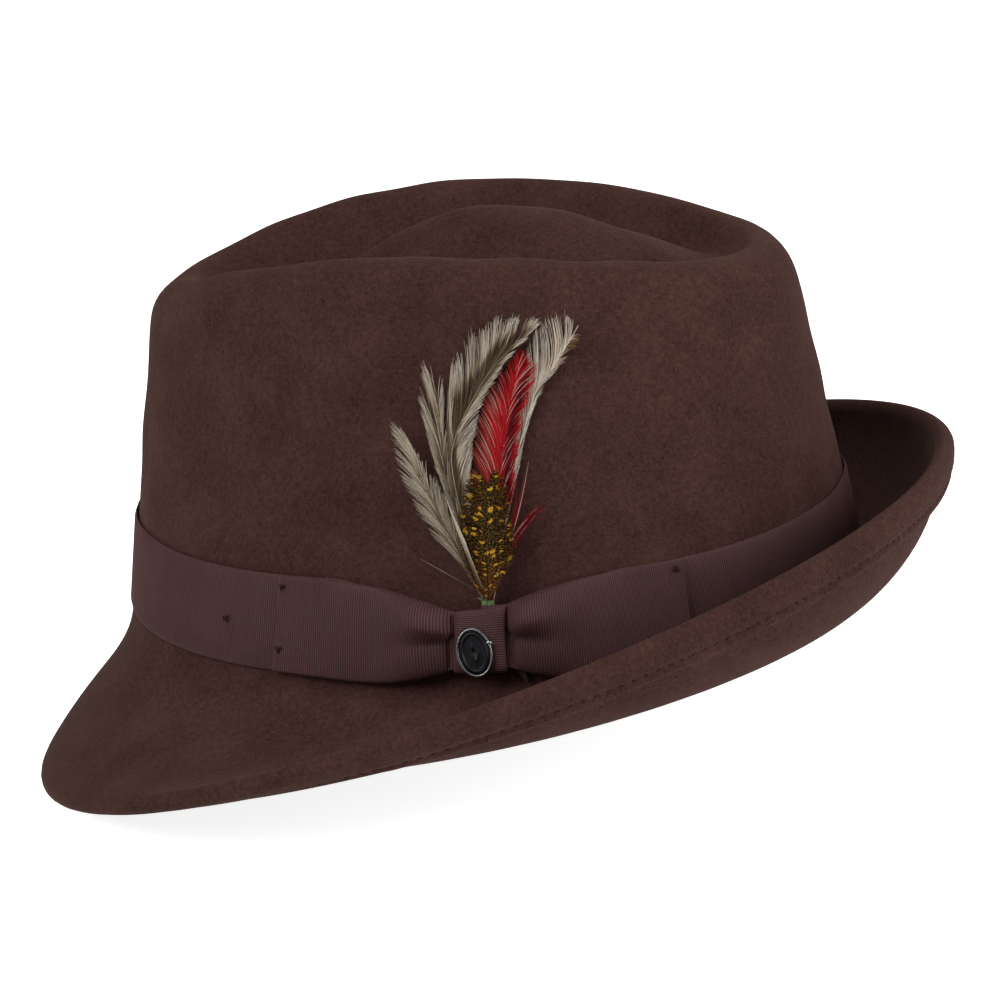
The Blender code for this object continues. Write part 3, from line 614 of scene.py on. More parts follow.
def spotted_finish():
    """Black feather with gold flecks in rows: cells along and across the feather, cut by a noise, with
    a rust colour towards the foot and the fringe."""
    finish, tree, shader = new_finish("spotted_feather", Specular_IOR_Level=0.04)
    along, across = point_value(tree, "along"), point_value(tree, "across")
    place = add_node(tree, "ShaderNodeCombineXYZ", {0: across, 1: along, 2: 0.0}).outputs[0]
    wander = maths(tree, "MULTIPLY_ADD", noise(tree, place, 0.35), 4.0, along)
    row = maths(tree, "SINE", maths(tree, "MULTIPLY", wander, 2 * math.pi / 2.75))

    def near_cell(scale, randomness, reach):
        squeezed = add_node(tree, "ShaderNodeMapping", {"Vector": place, "Scale": scale}).outputs[0]
        cells = add_node(tree, "ShaderNodeTexVoronoi", {"Vector": squeezed, "Scale": 1.0,
                                                        "Randomness": randomness}, voronoi_dimensions="2D")
        return maths(tree, "LESS_THAN", cells.outputs["Distance"], reach)

    large = maths(tree, "MULTIPLY", near_cell((0.40, 0.37, 1.0), 0.55, 0.34),
                  maths(tree, "GREATER_THAN", row, 0.35))
    small = maths(tree, "MULTIPLY", near_cell((1.35, 2.5, 1.0), 1.0, 0.30), 0.80)
    dark = mix(tree, point_value(tree, "rust"), (0.0085, 0.0055, 0.0028), (0.050, 0.014, 0.005))
    ochre = mix(tree, small, dark, (0.105, 0.055, 0.007))
    gold = mix(tree, maths(tree, "MULTIPLY_ADD", noise(tree, place, 1.1), 1.6, -0.3), (0.22, 0.105, 0.008),
               (0.42, 0.235, 0.022))
    feed(tree, shader, mix(tree, large, ochre, gold),
         maths(tree, "MULTIPLY_ADD", point_value(tree, "chance"), 0.2, 0.35))
    return finish


def tape_finish():
    """Pale green floral tape, wrinkled and a little waxy."""
    finish, tree, shader = new_finish("green_tape", Roughness=0.6, Specular_IOR_Level=0.25)
    wrinkle = noise(tree, object_place(tree), 1300.0, 3.0)
    feed(tree, shader, ramp(tree, wrinkle, [(0.3, (0.055, 0.092, 0.028)), (0.7, (0.135, 0.21, 0.075))]))
    set_bump(tree, shader, wrinkle, 0.0003)
    return finish


def enamel_finish():
    """Glossy black enamel with faint orange peel and dust."""
    finish, tree, shader = new_finish("black_enamel", Specular_IOR_Level=0.16, Coat_Weight=0.04,
                                      Coat_Roughness=0.2)
    cloud = cloud_mask(tree, object_place(tree), 300.0, 3000.0, 0.4)
    feed(tree, shader, ramp(tree, cloud, [(0.35, (0.0025, 0.002, 0.003)), (0.75, (0.006, 0.005, 0.007))]),
         maths(tree, "MULTIPLY_ADD", cloud, 0.3, 0.2))
    set_bump(tree, shader, cloud, 0.00004, 0.6)
    return finish


def metal_finish(name, low, high, roughness):
    """Plated metal, tarnished in clouds, with fine scratches."""
    finish, tree, shader = new_finish(name, Metallic=1.0)
    cloud = cloud_mask(tree, object_place(tree), 400.0, 2600.0, 0.5)
    feed(tree, shader, ramp(tree, cloud, [(0.3, low), (0.7, high)]),
         maths(tree, "MULTIPLY_ADD", cloud, 0.35, roughness))
    set_bump(tree, shader, cloud, 0.00003, 0.6)
    return finish


def leather_finish():
    """Sweatband leather: pebbled grain, a little darker in the cells' edges."""
    finish, tree, shader = new_finish("brown_leather", Specular_IOR_Level=0.4)
    place = object_place(tree)
    cells = add_node(tree, "ShaderNodeTexVoronoi", {"Vector": place, "Scale": 900.0, "Randomness": 0.9},
                     feature="DISTANCE_TO_EDGE")
    grain = maths(tree, "MINIMUM", maths(tree, "MULTIPLY", cells.outputs["Distance"], 5.0), 1.0)
    cloud = cloud_mask(tree, place, 45.0, 500.0, 0.35)
    base = ramp(tree, cloud, [(0.3, (0.060, 0.026, 0.015)), (0.7, (0.115, 0.054, 0.032))])
    feed(tree, shader, mix(tree, maths(tree, "MULTIPLY_ADD", grain, -0.5, 0.5), base, (0.02, 0.008, 0.005)),
         maths(tree, "MULTIPLY_ADD", cloud, 0.3, 0.33))
    set_bump(tree, shader, grain, 0.00012, 0.7)
    return finish


def reed_finish():
    """Cloth-covered reed cord: fine slanting weave."""
    finish, tree, shader = new_finish("covered_reed", Roughness=0.6, Sheen_Weight=0.2)
    weave = colour_wave(tree, object_place(tree), 420.0, "DIAGONAL", Distortion=0.5)
    feed(tree, shader, ramp(tree, weave, [(0.0, (0.03, 0.013, 0.009)), (1.0, (0.10, 0.05, 0.035))]))
    set_bump(tree, shader, weave, 0.0001)
    return finish


def satin_finish():
    """Satin lining: fine threads along the cloth that shine across it."""
    finish, tree, shader = new_finish("dark_satin", Sheen_Weight=0.3, Sheen_Roughness=0.25, Anisotropic=0.4,
                                      Specular_IOR_Level=0.6)
    place = cloth_place(tree)
    threads = colour_wave(tree, place, 0.9, "Y", Distortion=1.0, Detail=2.0)
    cloud = cloud_mask(tree, place, 0.05, 0.9, 0.4)
    feed(tree, shader, ramp(tree, cloud, [(0.3, (0.022, 0.011, 0.010)), (0.7, (0.050, 0.028, 0.025))]),
         maths(tree, "MULTIPLY_ADD", cloud, 0.2, 0.25))
    set_bump(tree, shader, threads, 0.00005, 0.5)
    return finish


def label_finish():
    """Woven label: cream plain weave."""
    finish, tree, shader = new_finish("label_cloth", Roughness=0.75, Sheen_Weight=0.2)
    place = cloth_place(tree)
    weave = maths(tree, "MULTIPLY", *(colour_wave(tree, place, 1.1, direction) for direction in "XY"))
    feed(tree, shader, ramp(tree, weave, [(0.0, (0.50, 0.47, 0.40)), (1.0, (0.76, 0.73, 0.66))]))
    set_bump(tree, shader, weave, 0.00008)
    return finish


felt = felt_finish()
ribbon = ribbon_finish()
thread = thread_finish()
tape = tape_finish()
enamel = enamel_finish()
silver = metal_finish("silver_plate", (0.42, 0.42, 0.43), (0.72, 0.72, 0.72), 0.12)
gunmetal = metal_finish("dark_metal", (0.05, 0.05, 0.05), (0.24, 0.24, 0.24), 0.12)
leather = leather_finish()
reed = reed_finish()
satin = satin_finish()
label = label_finish()
brown_hackle = barb_finish(
    "brown_hackle", [(0.0, (0.040, 0.024, 0.014)), (0.30, (0.085, 0.058, 0.038)),
                     (0.60, (0.20, 0.155, 0.110)), (1.0, (0.40, 0.355, 0.29))], (0.34, 0.29, 0.22), 0.16)
striped_hackle = barb_finish(
    "striped_hackle", [(0.0, (0.020, 0.013, 0.006)), (0.28, (0.072, 0.046, 0.028)),
                       (0.50, (0.16, 0.115, 0.068)), (0.75, (0.27, 0.225, 0.165)),
                       (1.0, (0.40, 0.355, 0.29))], (0.12, 0.088, 0.056), 0.10)


# ---------------------------------------------------------------------------------------------------
# Felt body and its stitching
# ---------------------------------------------------------------------------------------------------

def hand_wander(points):
    """Slight unevenness of hand-blocked felt: three long sine waves in space, each under 0.15 mm, which
    fade out below the top of the band."""
    x, y, z = (points[..., k] * 100 for k in range(3))
    waves = (np.sin(1.9 * x + 0.8 * y + 1.3 * z) + np.sin(-1.1 * x + 2.3 * y + 0.4)
             + np.sin(2.7 * z - 1.7 * y + 2.0))
    return 0.00015 * waves * ease((points[..., 2] - 0.034) / 0.02)


def felt_face(t):
    """Rows of the outer felt face from the dome's centre to the brim's edge: crown top inwards out,
    quarter circle over the ridge, wall, a parabola round the break and the brim."""
    place = series(GROOVE_PLACE, t)
    rows = [crown_top(t, 1 - (1 - place) * k) for k in np.linspace(0.04, 1, 26)]
    rows += [crown_top(t, place * (1 - k)) for k in np.linspace(0, 1, 16)[1:]]
    ridge, shoulder = ridge_line(t), shoulder_line(t)
    for angle in np.radians(np.linspace(90, 0, 10)[1:]):
        row = shoulder + (ridge - shoulder) * (1 - math.cos(angle))
        row[:, 2] = shoulder[:, 2] + (ridge - shoulder)[:, 2] * math.sin(angle)
        rows.append(row)
    foot = FILLET / (shoulder[:, 2] - break_line(t)[:, 2])
    rows += [wall(t, 1 - (1 - foot) * k) for k in np.linspace(0, 1, 42)[1:]]
    beyond = FILLET / series(BRIM_WIDTH, t)
    above, corner, outside = wall(t, foot), break_line(t), brim(t, beyond, 0.0)
    rows += [above * (1 - k) ** 2 + corner * 2 * k * (1 - k) + outside * k ** 2
             for k in np.linspace(0, 1, 9)[1:]]
    edge = 1 - WELT / 2 / series(BRIM_WIDTH, t)
    rows += [brim(t, beyond + (edge - beyond) * k, 0.0) for k in np.linspace(0, 1, 40)[1:]]
    return np.array(rows)


def make_felt_body(columns=436):
    """Crown and brim in one shell: the outer face, a rounded folded edge, the turned-under welt with its
    raw edge and the pulled-in stitch line, and the inner face one felt thickness in along the normal."""
    t = turns(columns)
    face = felt_face(t)
    for _ in range(4):
        face[1:-4] = (face[:-5] + 2 * face[1:-4] + face[2:-3]) / 4
    normal = grid_normals(face, wrap_columns=True)
    normal *= np.sign(normal[0, 0, 2])
    face = face + normal * hand_wander(face)[..., None]
    width = series(BRIM_WIDTH, t)
    rows = list(face)
    for angle in np.radians(np.linspace(90, -90, 10)[1:]):
        reach = 1 - WELT / 2 / width * (1 - math.cos(angle))
        rows.append(brim(t, reach, WELT / 2 * (1 - math.sin(angle))))
    raw = 1 - WELT_WIDTH / width
    seam = 1 - (WELT_WIDTH - STITCH_INSET) / width
    ripple = 0.0003 * np.sin(STITCH_COUNT * t) + 0.0003 * np.sin(23 * t + 1.0)
    for k in np.linspace(0, 1, 16)[1:]:
        place = (1 - WELT / 2 / width) * (1 - k) + raw * k
        from_seam = (place - seam) * width
        pulled = 0.0007 * bell(from_seam, 0.0, 0.0011) - 0.0003 * bell(from_seam, 0.0, 0.0035)
        round_off = 0.0004 * bell(from_seam, -STITCH_INSET, 0.0007)
        rows.append(brim(t, place, WELT - pulled - round_off))
    rows.append(brim(t, raw - (0.0002 + ripple) / width, WELT - 0.0011))
    rows.append(brim(t, raw - (0.0004 + ripple) / width, FELT + 0.0004))
    rows.append(brim(t, raw - 0.0008 / width, FELT))
    beyond = FILLET / width
    rows += [brim(t, raw - 0.0014 / width + (beyond - raw) * k, FELT) for k in np.linspace(0, 1, 16)[1:-1]]
    inner = (face - FELT * normal)[1:-39]
    rows += list(inner[::-1][::2])
    rows = np.array(rows)
    size = rows.shape[0] * columns
    top = np.array([0.0, DOME_CENTRE_Y, DOME_HEIGHT])
    points = np.concatenate([rows.reshape(-1, 3), [top, top - np.array([0.0, 0.0, FELT])]])
    faces = [grid_faces(len(rows), columns, False, True)] + end_fans(columns, size)
    return make_piece("felt_crown_and_brim", points, faces, felt, "hat", ["felt_body"])


def make_welt_stitches():
    """Short stitches along the seam of the welt: each a grain on a ring of places, sunk at its ends."""
    t = (np.arange(STITCH_COUNT) + 0.5) * 2 * math.pi / STITCH_COUNT
    step = 2 * math.pi / STITCH_COUNT
    spans = np.linspace(-STITCH_REACH, STITCH_REACH, 6)
    seam = 1 - (WELT_WIDTH - STITCH_INSET) / series(BRIM_WIDTH, t)
    depths = WELT - 0.0003 - STITCH_SINK * abs(spans) / STITCH_REACH
    centre = np.stack([brim(t + step * k, seam, depth) for k, depth in zip(spans, depths)], 1)
    along = unit(np.gradient(centre, axis=1))
    down = np.stack([brim(t, seam, WELT + 1e-3) - brim(t, seam, WELT)] * len(spans), 1) / 1e-3
    side = np.cross(along, down)
    girth = 0.00034 * np.sqrt(np.maximum(1 - (spans / 0.40) ** 2, 0.05))[None, :, None, None]
    turn = turns(5)
    rings = centre[:, :, None] + girth * (np.cos(turn)[None, None, :, None] * side[:, :, None]
                                          + np.sin(turn)[None, None, :, None] * down[:, :, None])
    return make_piece("welt_stitches", rings, tube_faces(len(spans), 5, STITCH_COUNT), thread, "hat",
                      ["welt_thread"])


# ---------------------------------------------------------------------------------------------------
# Ribbon
# ---------------------------------------------------------------------------------------------------

def gather(angle, reach=20.0, flat=2.5):
    """How far the ribbon is drawn together: 1 near the knot's middle, falling smoothly to 0."""
    return 1 - ease((np.abs(angle - BOW_CENTRE) - flat) / reach)


def band_out(angle):
    """How far the back of the band stands off the felt: further under the knot."""
    return GAP + (KNOT_BACK + 0.0007) * gather(angle, 9.0, 7.5)


def rib_wave(length):
    """Round ribs: half of 1 + cosine of the length along the ribbon over the rib pitch."""
    return 0.5 + 0.5 * np.cos(2 * math.pi * length / RIB_PITCH)


def make_hatband():
    """The band: a closed loop of ribbon with four columns to a rib, whose section is front, top edge,
    back and bottom edge. It lies close to the felt at its foot and stands a little off at its top."""
    ribs = round(BAND_LENGTH / RIB_PITCH)
    columns = ribs * 4
    angle = np.arange(columns) * 360 / columns
    phase = 2 * math.pi * ribs * angle / 360
    rib = 0.5 + 0.5 * np.cos(phase)
    top = BAND_BOTTOM + BAND_WIDTH - BAND_DIP * gather(angle)
    bottom = BAND_BOTTOM + BAND_LIFT * gather(angle, 8.0, 6.0)
    front = np.array([0.0, 0.012, 0.05, 0.25, 0.5, 0.75, 0.95, 0.988, 1.0])[:, None]
    back = np.array([1.0, 0.5, 0.0])[:, None]
    share = np.concatenate([front, back])
    is_front = np.concatenate([np.ones_like(front), np.zeros_like(back)])
    height = bottom + (top - bottom) * share
    height += 0.00006 * rib * (np.clip(share * 60 - 59, 0, 1) - np.clip(1 - share * 60, 0, 1))
    wave = 0.00012 * (np.sin(np.radians(angle) * 9 + 0.6) + np.sin(np.radians(angle) * 17 + 2.1)) + 0.00024
    edge = 4 * share * (1 - share)
    out = band_out(angle) + wave * share + is_front * (0.00022 + 0.00026 * np.clip(edge * 6, 0, 1)
                                                       + RIB_HEIGHT * rib * np.clip(edge * 9, 0.35, 1))
    points = on_wall(angle, height, out)
    length = np.broadcast_to(angle * BAND_LENGTH * 1000 / 360, share.shape[:1] + angle.shape)
    uv = np.stack([length, np.broadcast_to(share * 25.4, length.shape)], -1)
    faces = [grid_faces(len(share), columns, True, True)]
    piece = make_piece("hatband_ribbon", points, faces, ribbon, "hat", ["hatband"], uv,
                       {"rib": np.broadcast_to(rib, length.shape)})
    return piece


def loop_shape(angle, share, layer):
    """One layer of a bow loop as height above the break and distance out. The loop narrows into the
    knot and hangs a little below the band. Near the knot its top layer (layer 1) is a full roll above
    a crease, with a shallow swell below it and a slope that leans out towards its top; further away
    it is one low arch."""
    past = np.maximum(np.abs(angle - BOW_CENTRE) - KNOT_HALF_ANGLE, 0)
    drop = 0.00745 - 0.00075 * np.sign(angle - BOW_CENTRE)
    top = LOOP_TOP - drop * np.exp(-(past / 8.2) ** 1.15)
    bottom = BAND_BOTTOM - 0.0013 * bell(past, 11.0, 9.0) + 0.0028 * np.exp(-(past / 4.5) ** 1.5)
    height = bottom + (top - bottom) * share
    away = past * METRES_PER_DEGREE
    under = band_out(angle) + 0.0010
    arch = np.clip(4 * share * (1 - share), 0, 1) ** 0.45
    split = 0.50 - 0.08 * np.clip(away / 0.016, 0, 1)
    peak = split + 0.22
    above = np.sqrt(np.clip(1 - ((share - peak) / (1 - peak)).clip(0, 1) ** 2, 0, 1))
    below = ease((share - split + 0.07) / (peak - split + 0.10 * away / 0.010))
    hem = 0.16 * np.sin(math.pi * np.clip(share / split, 0, 1)) ** 0.8 * (1 - below)
    roll = above * (0.10 * np.clip(share * 12, 0, 1) + 0.90 * below) + hem
    near = np.exp(-(away / 0.0160) ** 2)
    swell = 0.0052 * bell(away, 0.0070, 0.0090) + 0.0015 * bell(away, 0.020, 0.017)
    tuck = 0.0022 * (1 - ease(away / 0.0030))
    slope = 0.0034 * share * (1 - share ** 6) * near * ease((away - 0.0010) / 0.0050)
    rise = np.maximum(0.80 * swell * (roll * near + arch * (1 - near)) + slope - tuck, 0.0)
    return height, under + layer * (0.0004 + rise)


def make_bow_loop(name, fold, inner_end, replaced):
    """A folded loop of ribbon: it leaves the knot on its top layer, turns round its fold on half a small
    circle, and comes back along the under layer."""
    run = abs(fold - inner_end) * METRES_PER_DEGREE
    radius = 0.0005
    turn = math.pi * radius
    ribs = round((2 * run + turn) / RIB_PITCH)
    rows = ribs * 4 + 1
    length = np.linspace(0, 2 * run + turn, rows)[:, None]
    share = np.linspace(0, 1, 45)[None, :]
    past = np.clip((length - run) / turn, 0, 1)
    reach = np.where(length < run, length, np.where(past < 1, run, 2 * run + turn - length))
    reach = reach + radius * np.sin(math.pi * past)
    angle = inner_end + (fold - inner_end) * reach / run + 0.0 * share
    high, high_out = loop_shape(angle, share, 1.0)
    low, low_out = loop_shape(angle, share, 0.0)
    layer = (1 + np.cos(math.pi * past)) / 2
    slant = 0.35 * (share - 0.5) * ease(1 - np.abs(length - run) / run * 3)
    out = low_out + (high_out + 0.0006 - low_out) * layer
    points = on_wall(angle + slant, low + (high - low) * layer, out)
    rib = rib_wave(length) + 0.0 * share
    edge = np.clip(4 * share * (1 - share) * 9, 0.3, 1)
    thick = 0.0003 + 2 * RIB_HEIGHT * rib * edge
    length = length + 0.0 * share
    uv = np.stack([length * 1000, share * 25.4 + 0.0 * length], -1)
    piece = make_piece(name, thick_sheet(points, thick), sheet_faces(rows, share.shape[1]), ribbon, "hat",
                       replaced, np.concatenate([uv, uv]), {"rib": np.concatenate([rib, rib])})
    return piece


def make_knot():
    """The belt round the bow's middle: a rounded rectangle in height and distance out, carried across
    the knot's width, with ribs along it, edges that curl back and a slightly sunken top."""
    rows = KNOT_RIBS * 4
    half_height = (KNOT_TOP - KNOT_BOTTOM) / 2
    half_out = (KNOT_FRONT - KNOT_BACK) / 2
    fine = np.linspace(0, 2 * math.pi, 2001)
    c, s = power_circle(fine, 4.6)
    girth = np.concatenate([[0.0], np.cumsum(np.hypot(np.diff(c * half_out), np.diff(s * half_height)))])
    even = np.arange(rows) / rows * girth[-1]
    c, s = np.interp(even, girth, c)[:, None], np.interp(even, girth, s)[:, None]
    share = np.linspace(-1, 1, 25)[None, :]
    lean = 0.30 * s
    narrow = 1 - 0.045 * (1 - s * s)
    angle = BOW_CENTRE + KNOT_HALF_ANGLE * share * narrow + lean
    sag = (0.00105 - 0.00065 * share + 0.0003 * (1 - share * share)) * np.clip(s, 0, 1)
    curl = 0.00042 * share ** 6 + 0.00016 * np.sin(3.1 * share + 1.7) * np.clip(c, 0, 1)
    height = (KNOT_TOP + KNOT_BOTTOM) / 2 + (half_height - curl - sag) * s
    out = (KNOT_FRONT + KNOT_BACK) / 2 + (half_out - curl) * c
    outer = on_wall(angle, height, out)
    along = np.arange(rows)[:, None] * (RIB_PITCH * KNOT_RIBS / rows) + 0.0 * share
    rib = rib_wave(along)
    normal = grid_normals(outer, wrap_rows=True)
    centre = outer.mean(0, keepdims=True)
    normal *= np.sign((normal * (outer - centre)).sum(-1, keepdims=True).mean())
    front = outer + normal * (0.8 * RIB_HEIGHT * rib)[..., None]
    back = outer - normal * 0.0005
    grid = np.concatenate([front, back[:, ::-1]], axis=1)
    uv = np.stack([along * 1000, share * 7.0 + 0.0 * along], -1)
    faces = [grid_faces(rows, grid.shape[1], True, True)]
    piece = make_piece("bow_knot_ribbon", grid, faces, ribbon, "hat", ["bow_knot"],
                       np.concatenate([uv, uv[:, ::-1]], 1),
                       {"rib": np.concatenate([rib, rib[:, ::-1]], 1)})
    return piece


def make_tail():
    """The loose ribbon end under the knot: a narrowing strip that ends in a slant cut."""
    share = np.linspace(0, 1, 33)[:, None]
    across = np.linspace(-1, 1, 9)[None, :]
    angle = 101.7 + 1.4 * share + (1.25 - 1.05 * share) * across
    height = 0.0064 - 0.0044 * share - 0.0005 * across
    out = 0.0020 + 0.0003 * share + 0.0002 * across ** 2
    rib = rib_wave(share * TAIL_LENGTH) + 0.0 * across
    uv = np.stack([share * TAIL_LENGTH * 1000 + 0.0 * across, across * 3 + 0.0 * share], -1)
    points = thick_sheet(on_wall(angle, height, out), 0.0003 + RIB_HEIGHT * rib)
    return make_piece("bow_tail_ribbon", points, sheet_faces(33, 9), ribbon, "hat", ["bow_tail"],
                      np.concatenate([uv, uv]), {"rib": np.concatenate([rib, rib])})


def make_tacks():
    """Hand stitches through the ribbon: each a knotted thread of three loops, wider than tall, which
    follows a rose curve out from the ribbon and back."""
    turn = np.linspace(0, 2 * math.pi, 61)[:-1]
    for number, (angle, height, out) in enumerate(TACK_PLACES, 1):
        reach = TACK_REACH * (1 + 0.45 * np.cos(3 * turn + number))
        side = reach * np.cos(turn + 0.6 * np.sin(2 * turn))
        rise = 0.6 * reach * np.sin(2 * turn + number)
        lift = 0.00012 + 0.00018 * np.cos(3 * turn)
        path = on_wall(angle + side / METRES_PER_DEGREE, height + rise, out + lift)
        rings = tube_points(path, TACK_THREAD, 6, True)
        make_piece(f"tack_thread_{number}", rings, [grid_faces(60, 6, True, True)], thread, "hat",
                   [f"ribbon_tack_{number}"])


# ---------------------------------------------------------------------------------------------------
# Feathers
# ---------------------------------------------------------------------------------------------------

def through(points, share):
    """A smooth curve through points, by cubic Hermite spans whose slopes come from the neighbours."""
    points = np.asarray(points, float)
    slope = np.gradient(points, axis=0)
    place = np.clip(share, 0, 1) * (len(points) - 1)
    k = np.minimum(np.floor(place).astype(int), len(points) - 2)
    u = (place - k)[..., None]
    start, end = 2 * u ** 3 - 3 * u ** 2 + 1, 3 * u ** 2 - 2 * u ** 3
    return start * points[k] + end * points[k + 1] + (u ** 3 - 2 * u ** 2 + u) * slope[k] \
        + (u ** 3 - u ** 2) * slope[k + 1]


def curve_at(curve, share):
    """Place and unit direction at shares of the length of a curve through (degrees, height) points, in
    metres along and up the wall."""
    curve = (np.asarray(curve, float) - np.array([STEM_ANGLE, 0.0])) * np.array([METRES_PER_DEGREE, 1.0])
    fine = np.linspace(0, 1, 240)
    line = through(curve, fine)
    length = np.concatenate([[0.0], np.cumsum(np.linalg.norm(np.diff(line, axis=0), axis=1))])
    place = np.interp(np.clip(share, 0, 1) * length[-1], length, fine)
    ahead = through(curve, np.minimum(place + 2e-3, 1)) - through(curve, np.maximum(place - 2e-3, 0))
    return through(curve, place), unit(ahead)


def strands(line, width, flat=0.45):
    """Three-sided strands round many lines at once. A line's points are metres along the wall, metres
    up it and metres out; its section is a low triangle whose base lies along the wall."""
    place = on_wall(STEM_ANGLE + line[..., 0] / METRES_PER_DEGREE, line[..., 1], line[..., 2])
    along = unit(np.gradient(place, axis=1))
    side = unit(np.cross(along, [0.95, 0.05, 0.30]))
    crest = np.cross(side, along)
    w = width[..., None]
    rings = np.stack([place + side * w / 2, place - side * w / 2, place + crest * w * flat], 2)
    return rings.reshape(-1, 3), tube_faces(rings.shape[1], 3, len(rings))


def make_barbs(shaft, hems, counts, tufts, feet, out, slack=0.5, ragged=0.07, drawn=0.75, steps=9):
    """Barbs on both sides of a shaft. A barb runs from its foot on the shaft to its tip on that side's
    hem, on a curve of three points whose middle one lies ahead of the foot along the shaft. Tips draw
    together in tufts of uneven sizes, some tighter than others, and lengths vary from tuft to tuft and
    from barb to barb. One barb in nine keeps out of its tuft, and one in ten is longer.

    Returns the lines, each barb's place on the shaft, and each point's distance from the shaft, which
    is negative on the side of the first hem."""
    found = []
    for hem, count, bundles, (low, high), sign in zip(hems, counts, tufts, feet, (-1.0, 1.0)):
        place = (np.arange(count) + random.random(count)) / count
        bounds = (np.arange(bundles + 1) + 0.36 * (2 * random.random(bundles + 1) - 1)) / bundles
        bounds[0], bounds[-1] = 0.0, 1.0
        tuft = np.clip(np.searchsorted(bounds, place) - 1, 0, bundles - 1)
        centre = (bounds[tuft] + bounds[tuft + 1]) / 2
        centre = centre + 0.2 / bundles * (random.random(bundles) - 0.5)[tuft]
        pull = drawn * (0.45 + 0.55 * random.random(bundles))[tuft] * (random.random(count) > 0.11)
        tip_place = place + pull * (centre - place) + 0.10 / bundles * random.standard_normal(count)
        foot, ahead = curve_at(shaft, low + (high - low) * place)
        tip, _ = curve_at(hem, tip_place)
        longer = 1 + ragged * random.standard_normal(bundles)[tuft].clip(-1.5, 0.8)
        longer -= 1.6 * ragged * np.abs(random.standard_normal(count)).clip(0, 2.5)
        longer += 0.9 * ragged * (random.random(count) > 0.9)
        tip = foot + (tip - foot) * longer[:, None] + 0.00028 * random.standard_normal((count, 2))
        reach = np.linalg.norm(tip - foot, axis=1, keepdims=True)
        middle = foot + (ahead + 0.05 * random.standard_normal((count, 2))) * reach * slack
        share = np.linspace(0, 1, steps)[None, :, None]
        path = (foot[:, None] * (1 - share) ** 2 + middle[:, None] * 2 * share * (1 - share)
                + tip[:, None] * share ** 2)
        lift = out(place)[:, None] + 0.0009 * share[..., 0] ** 2 * random.random((count, 1))
        span = path - foot[:, None]
        beside = np.abs(span[..., 0] * ahead[:, None, 1] - span[..., 1] * ahead[:, None, 0])
        found.append((np.concatenate([path, lift[..., None]], -1), place, sign * beside))
    return [np.concatenate(kind) for kind in zip(*found)]


def make_feather(name, shaft, lines, width, values, finish, shaft_width, out, replaced):
    """One feather: its barbs, which narrow to their tips, and its shaft as a strand that tapers."""
    share = np.linspace(0, 1, lines.shape[1])[None, :]
    widths = width * (0.16 + 0.84 * (1 - share ** 2)) * (0.7 + 0.6 * random.random((len(lines), 1)))
    points, faces = strands(lines, widths)
    along = np.linspace(0, 1, 40)
    rib = np.concatenate([curve_at(shaft, along)[0], (out(along) + 0.0003)[:, None]], -1)[None]
    more, more_faces = strands(rib, (shaft_width * (1 - 0.75 * along))[None], 0.8)
    shaft_values = values.pop("shaft")
    joined = {key: np.concatenate([np.repeat(value.reshape(-1), 3), np.full(len(more), shaft_values[key])])
              for key, value in values.items()}
    return make_piece(name, np.concatenate([points, more]), faces + [f + len(points) for f in more_faces],
                      finish, "feather_mount", replaced, None, joined)


def barb_values(shade, shaft_shade):
    """The values a barb finish reads: shade, and two chances that each barb keeps all along."""
    count, steps = shade.shape
    chance = np.repeat(random.random((count, 1)), steps, 1)
    tone = np.repeat(random.random((count, 1)), steps, 1)
    return {"shade": shade, "chance": chance, "tone": tone,
            "shaft": {"shade": shaft_shade, "chance": 0.5, "tone": 0.55}}


def rising(start, rise):
    """A distance out from the wall that grows along a shaft, as a function of the place on it."""
    return lambda place: start + rise * place


def barb_share(lines):
    """Share of the way along each barb, for all of them."""
    return np.repeat(np.linspace(0, 1, lines.shape[1])[None, :], len(lines), 0)


def make_curled_hackle():
    """The rear hackle: its shaft is a bright hem that bends back, with a fan of long cream barbs."""
    shaft = [(99.2, BASE), (103.6, 0.0536), (107.2, 0.0693), (109.2, 0.0761), (112.7, 0.0821),
             (117.5, 0.0913)]
    hems = [[(105.6, 0.0660), (107.7, 0.0838), (110.2, 0.0905), (112.6, 0.0940), (114.5, 0.0943),
             (117.4, 0.0922)],
            [(104.6, 0.0560), (108.0, 0.0714), (110.9, 0.0775), (114.2, 0.0829), (116.4, 0.0850),
             (118.3, 0.0901)]]
    out = rising(0.0010, 0.0012)
    lines, place, beside = make_barbs(shaft, hems, (300, 150), (9, 7), ((0.20, 0.93), (0.20, 0.95)), out)
    rust = (beside > 0) * ease((place[:, None] - 0.62) / 0.3) * barb_share(lines)
    shade = (0.45 + 0.45 * barb_share(lines) + 0.30 * bell(beside, 0.0, 0.0008)) * (1 - 0.72 * rust)
    finish = barb_finish("cream_hackle", [(0.0, (0.045, 0.020, 0.008)), (0.28, (0.19, 0.085, 0.022)),
                                          (0.5, (0.20, 0.155, 0.105)), (0.8, (0.36, 0.31, 0.25)),
                                          (1.0, (0.46, 0.42, 0.36))], (0.11, 0.055, 0.020), 0.14)
    return make_feather("curled_cream_hackle", shaft, lines, 0.00026, barb_values(shade, 0.95), finish,
                        0.00055, out, ["feather_curled_hackle"])


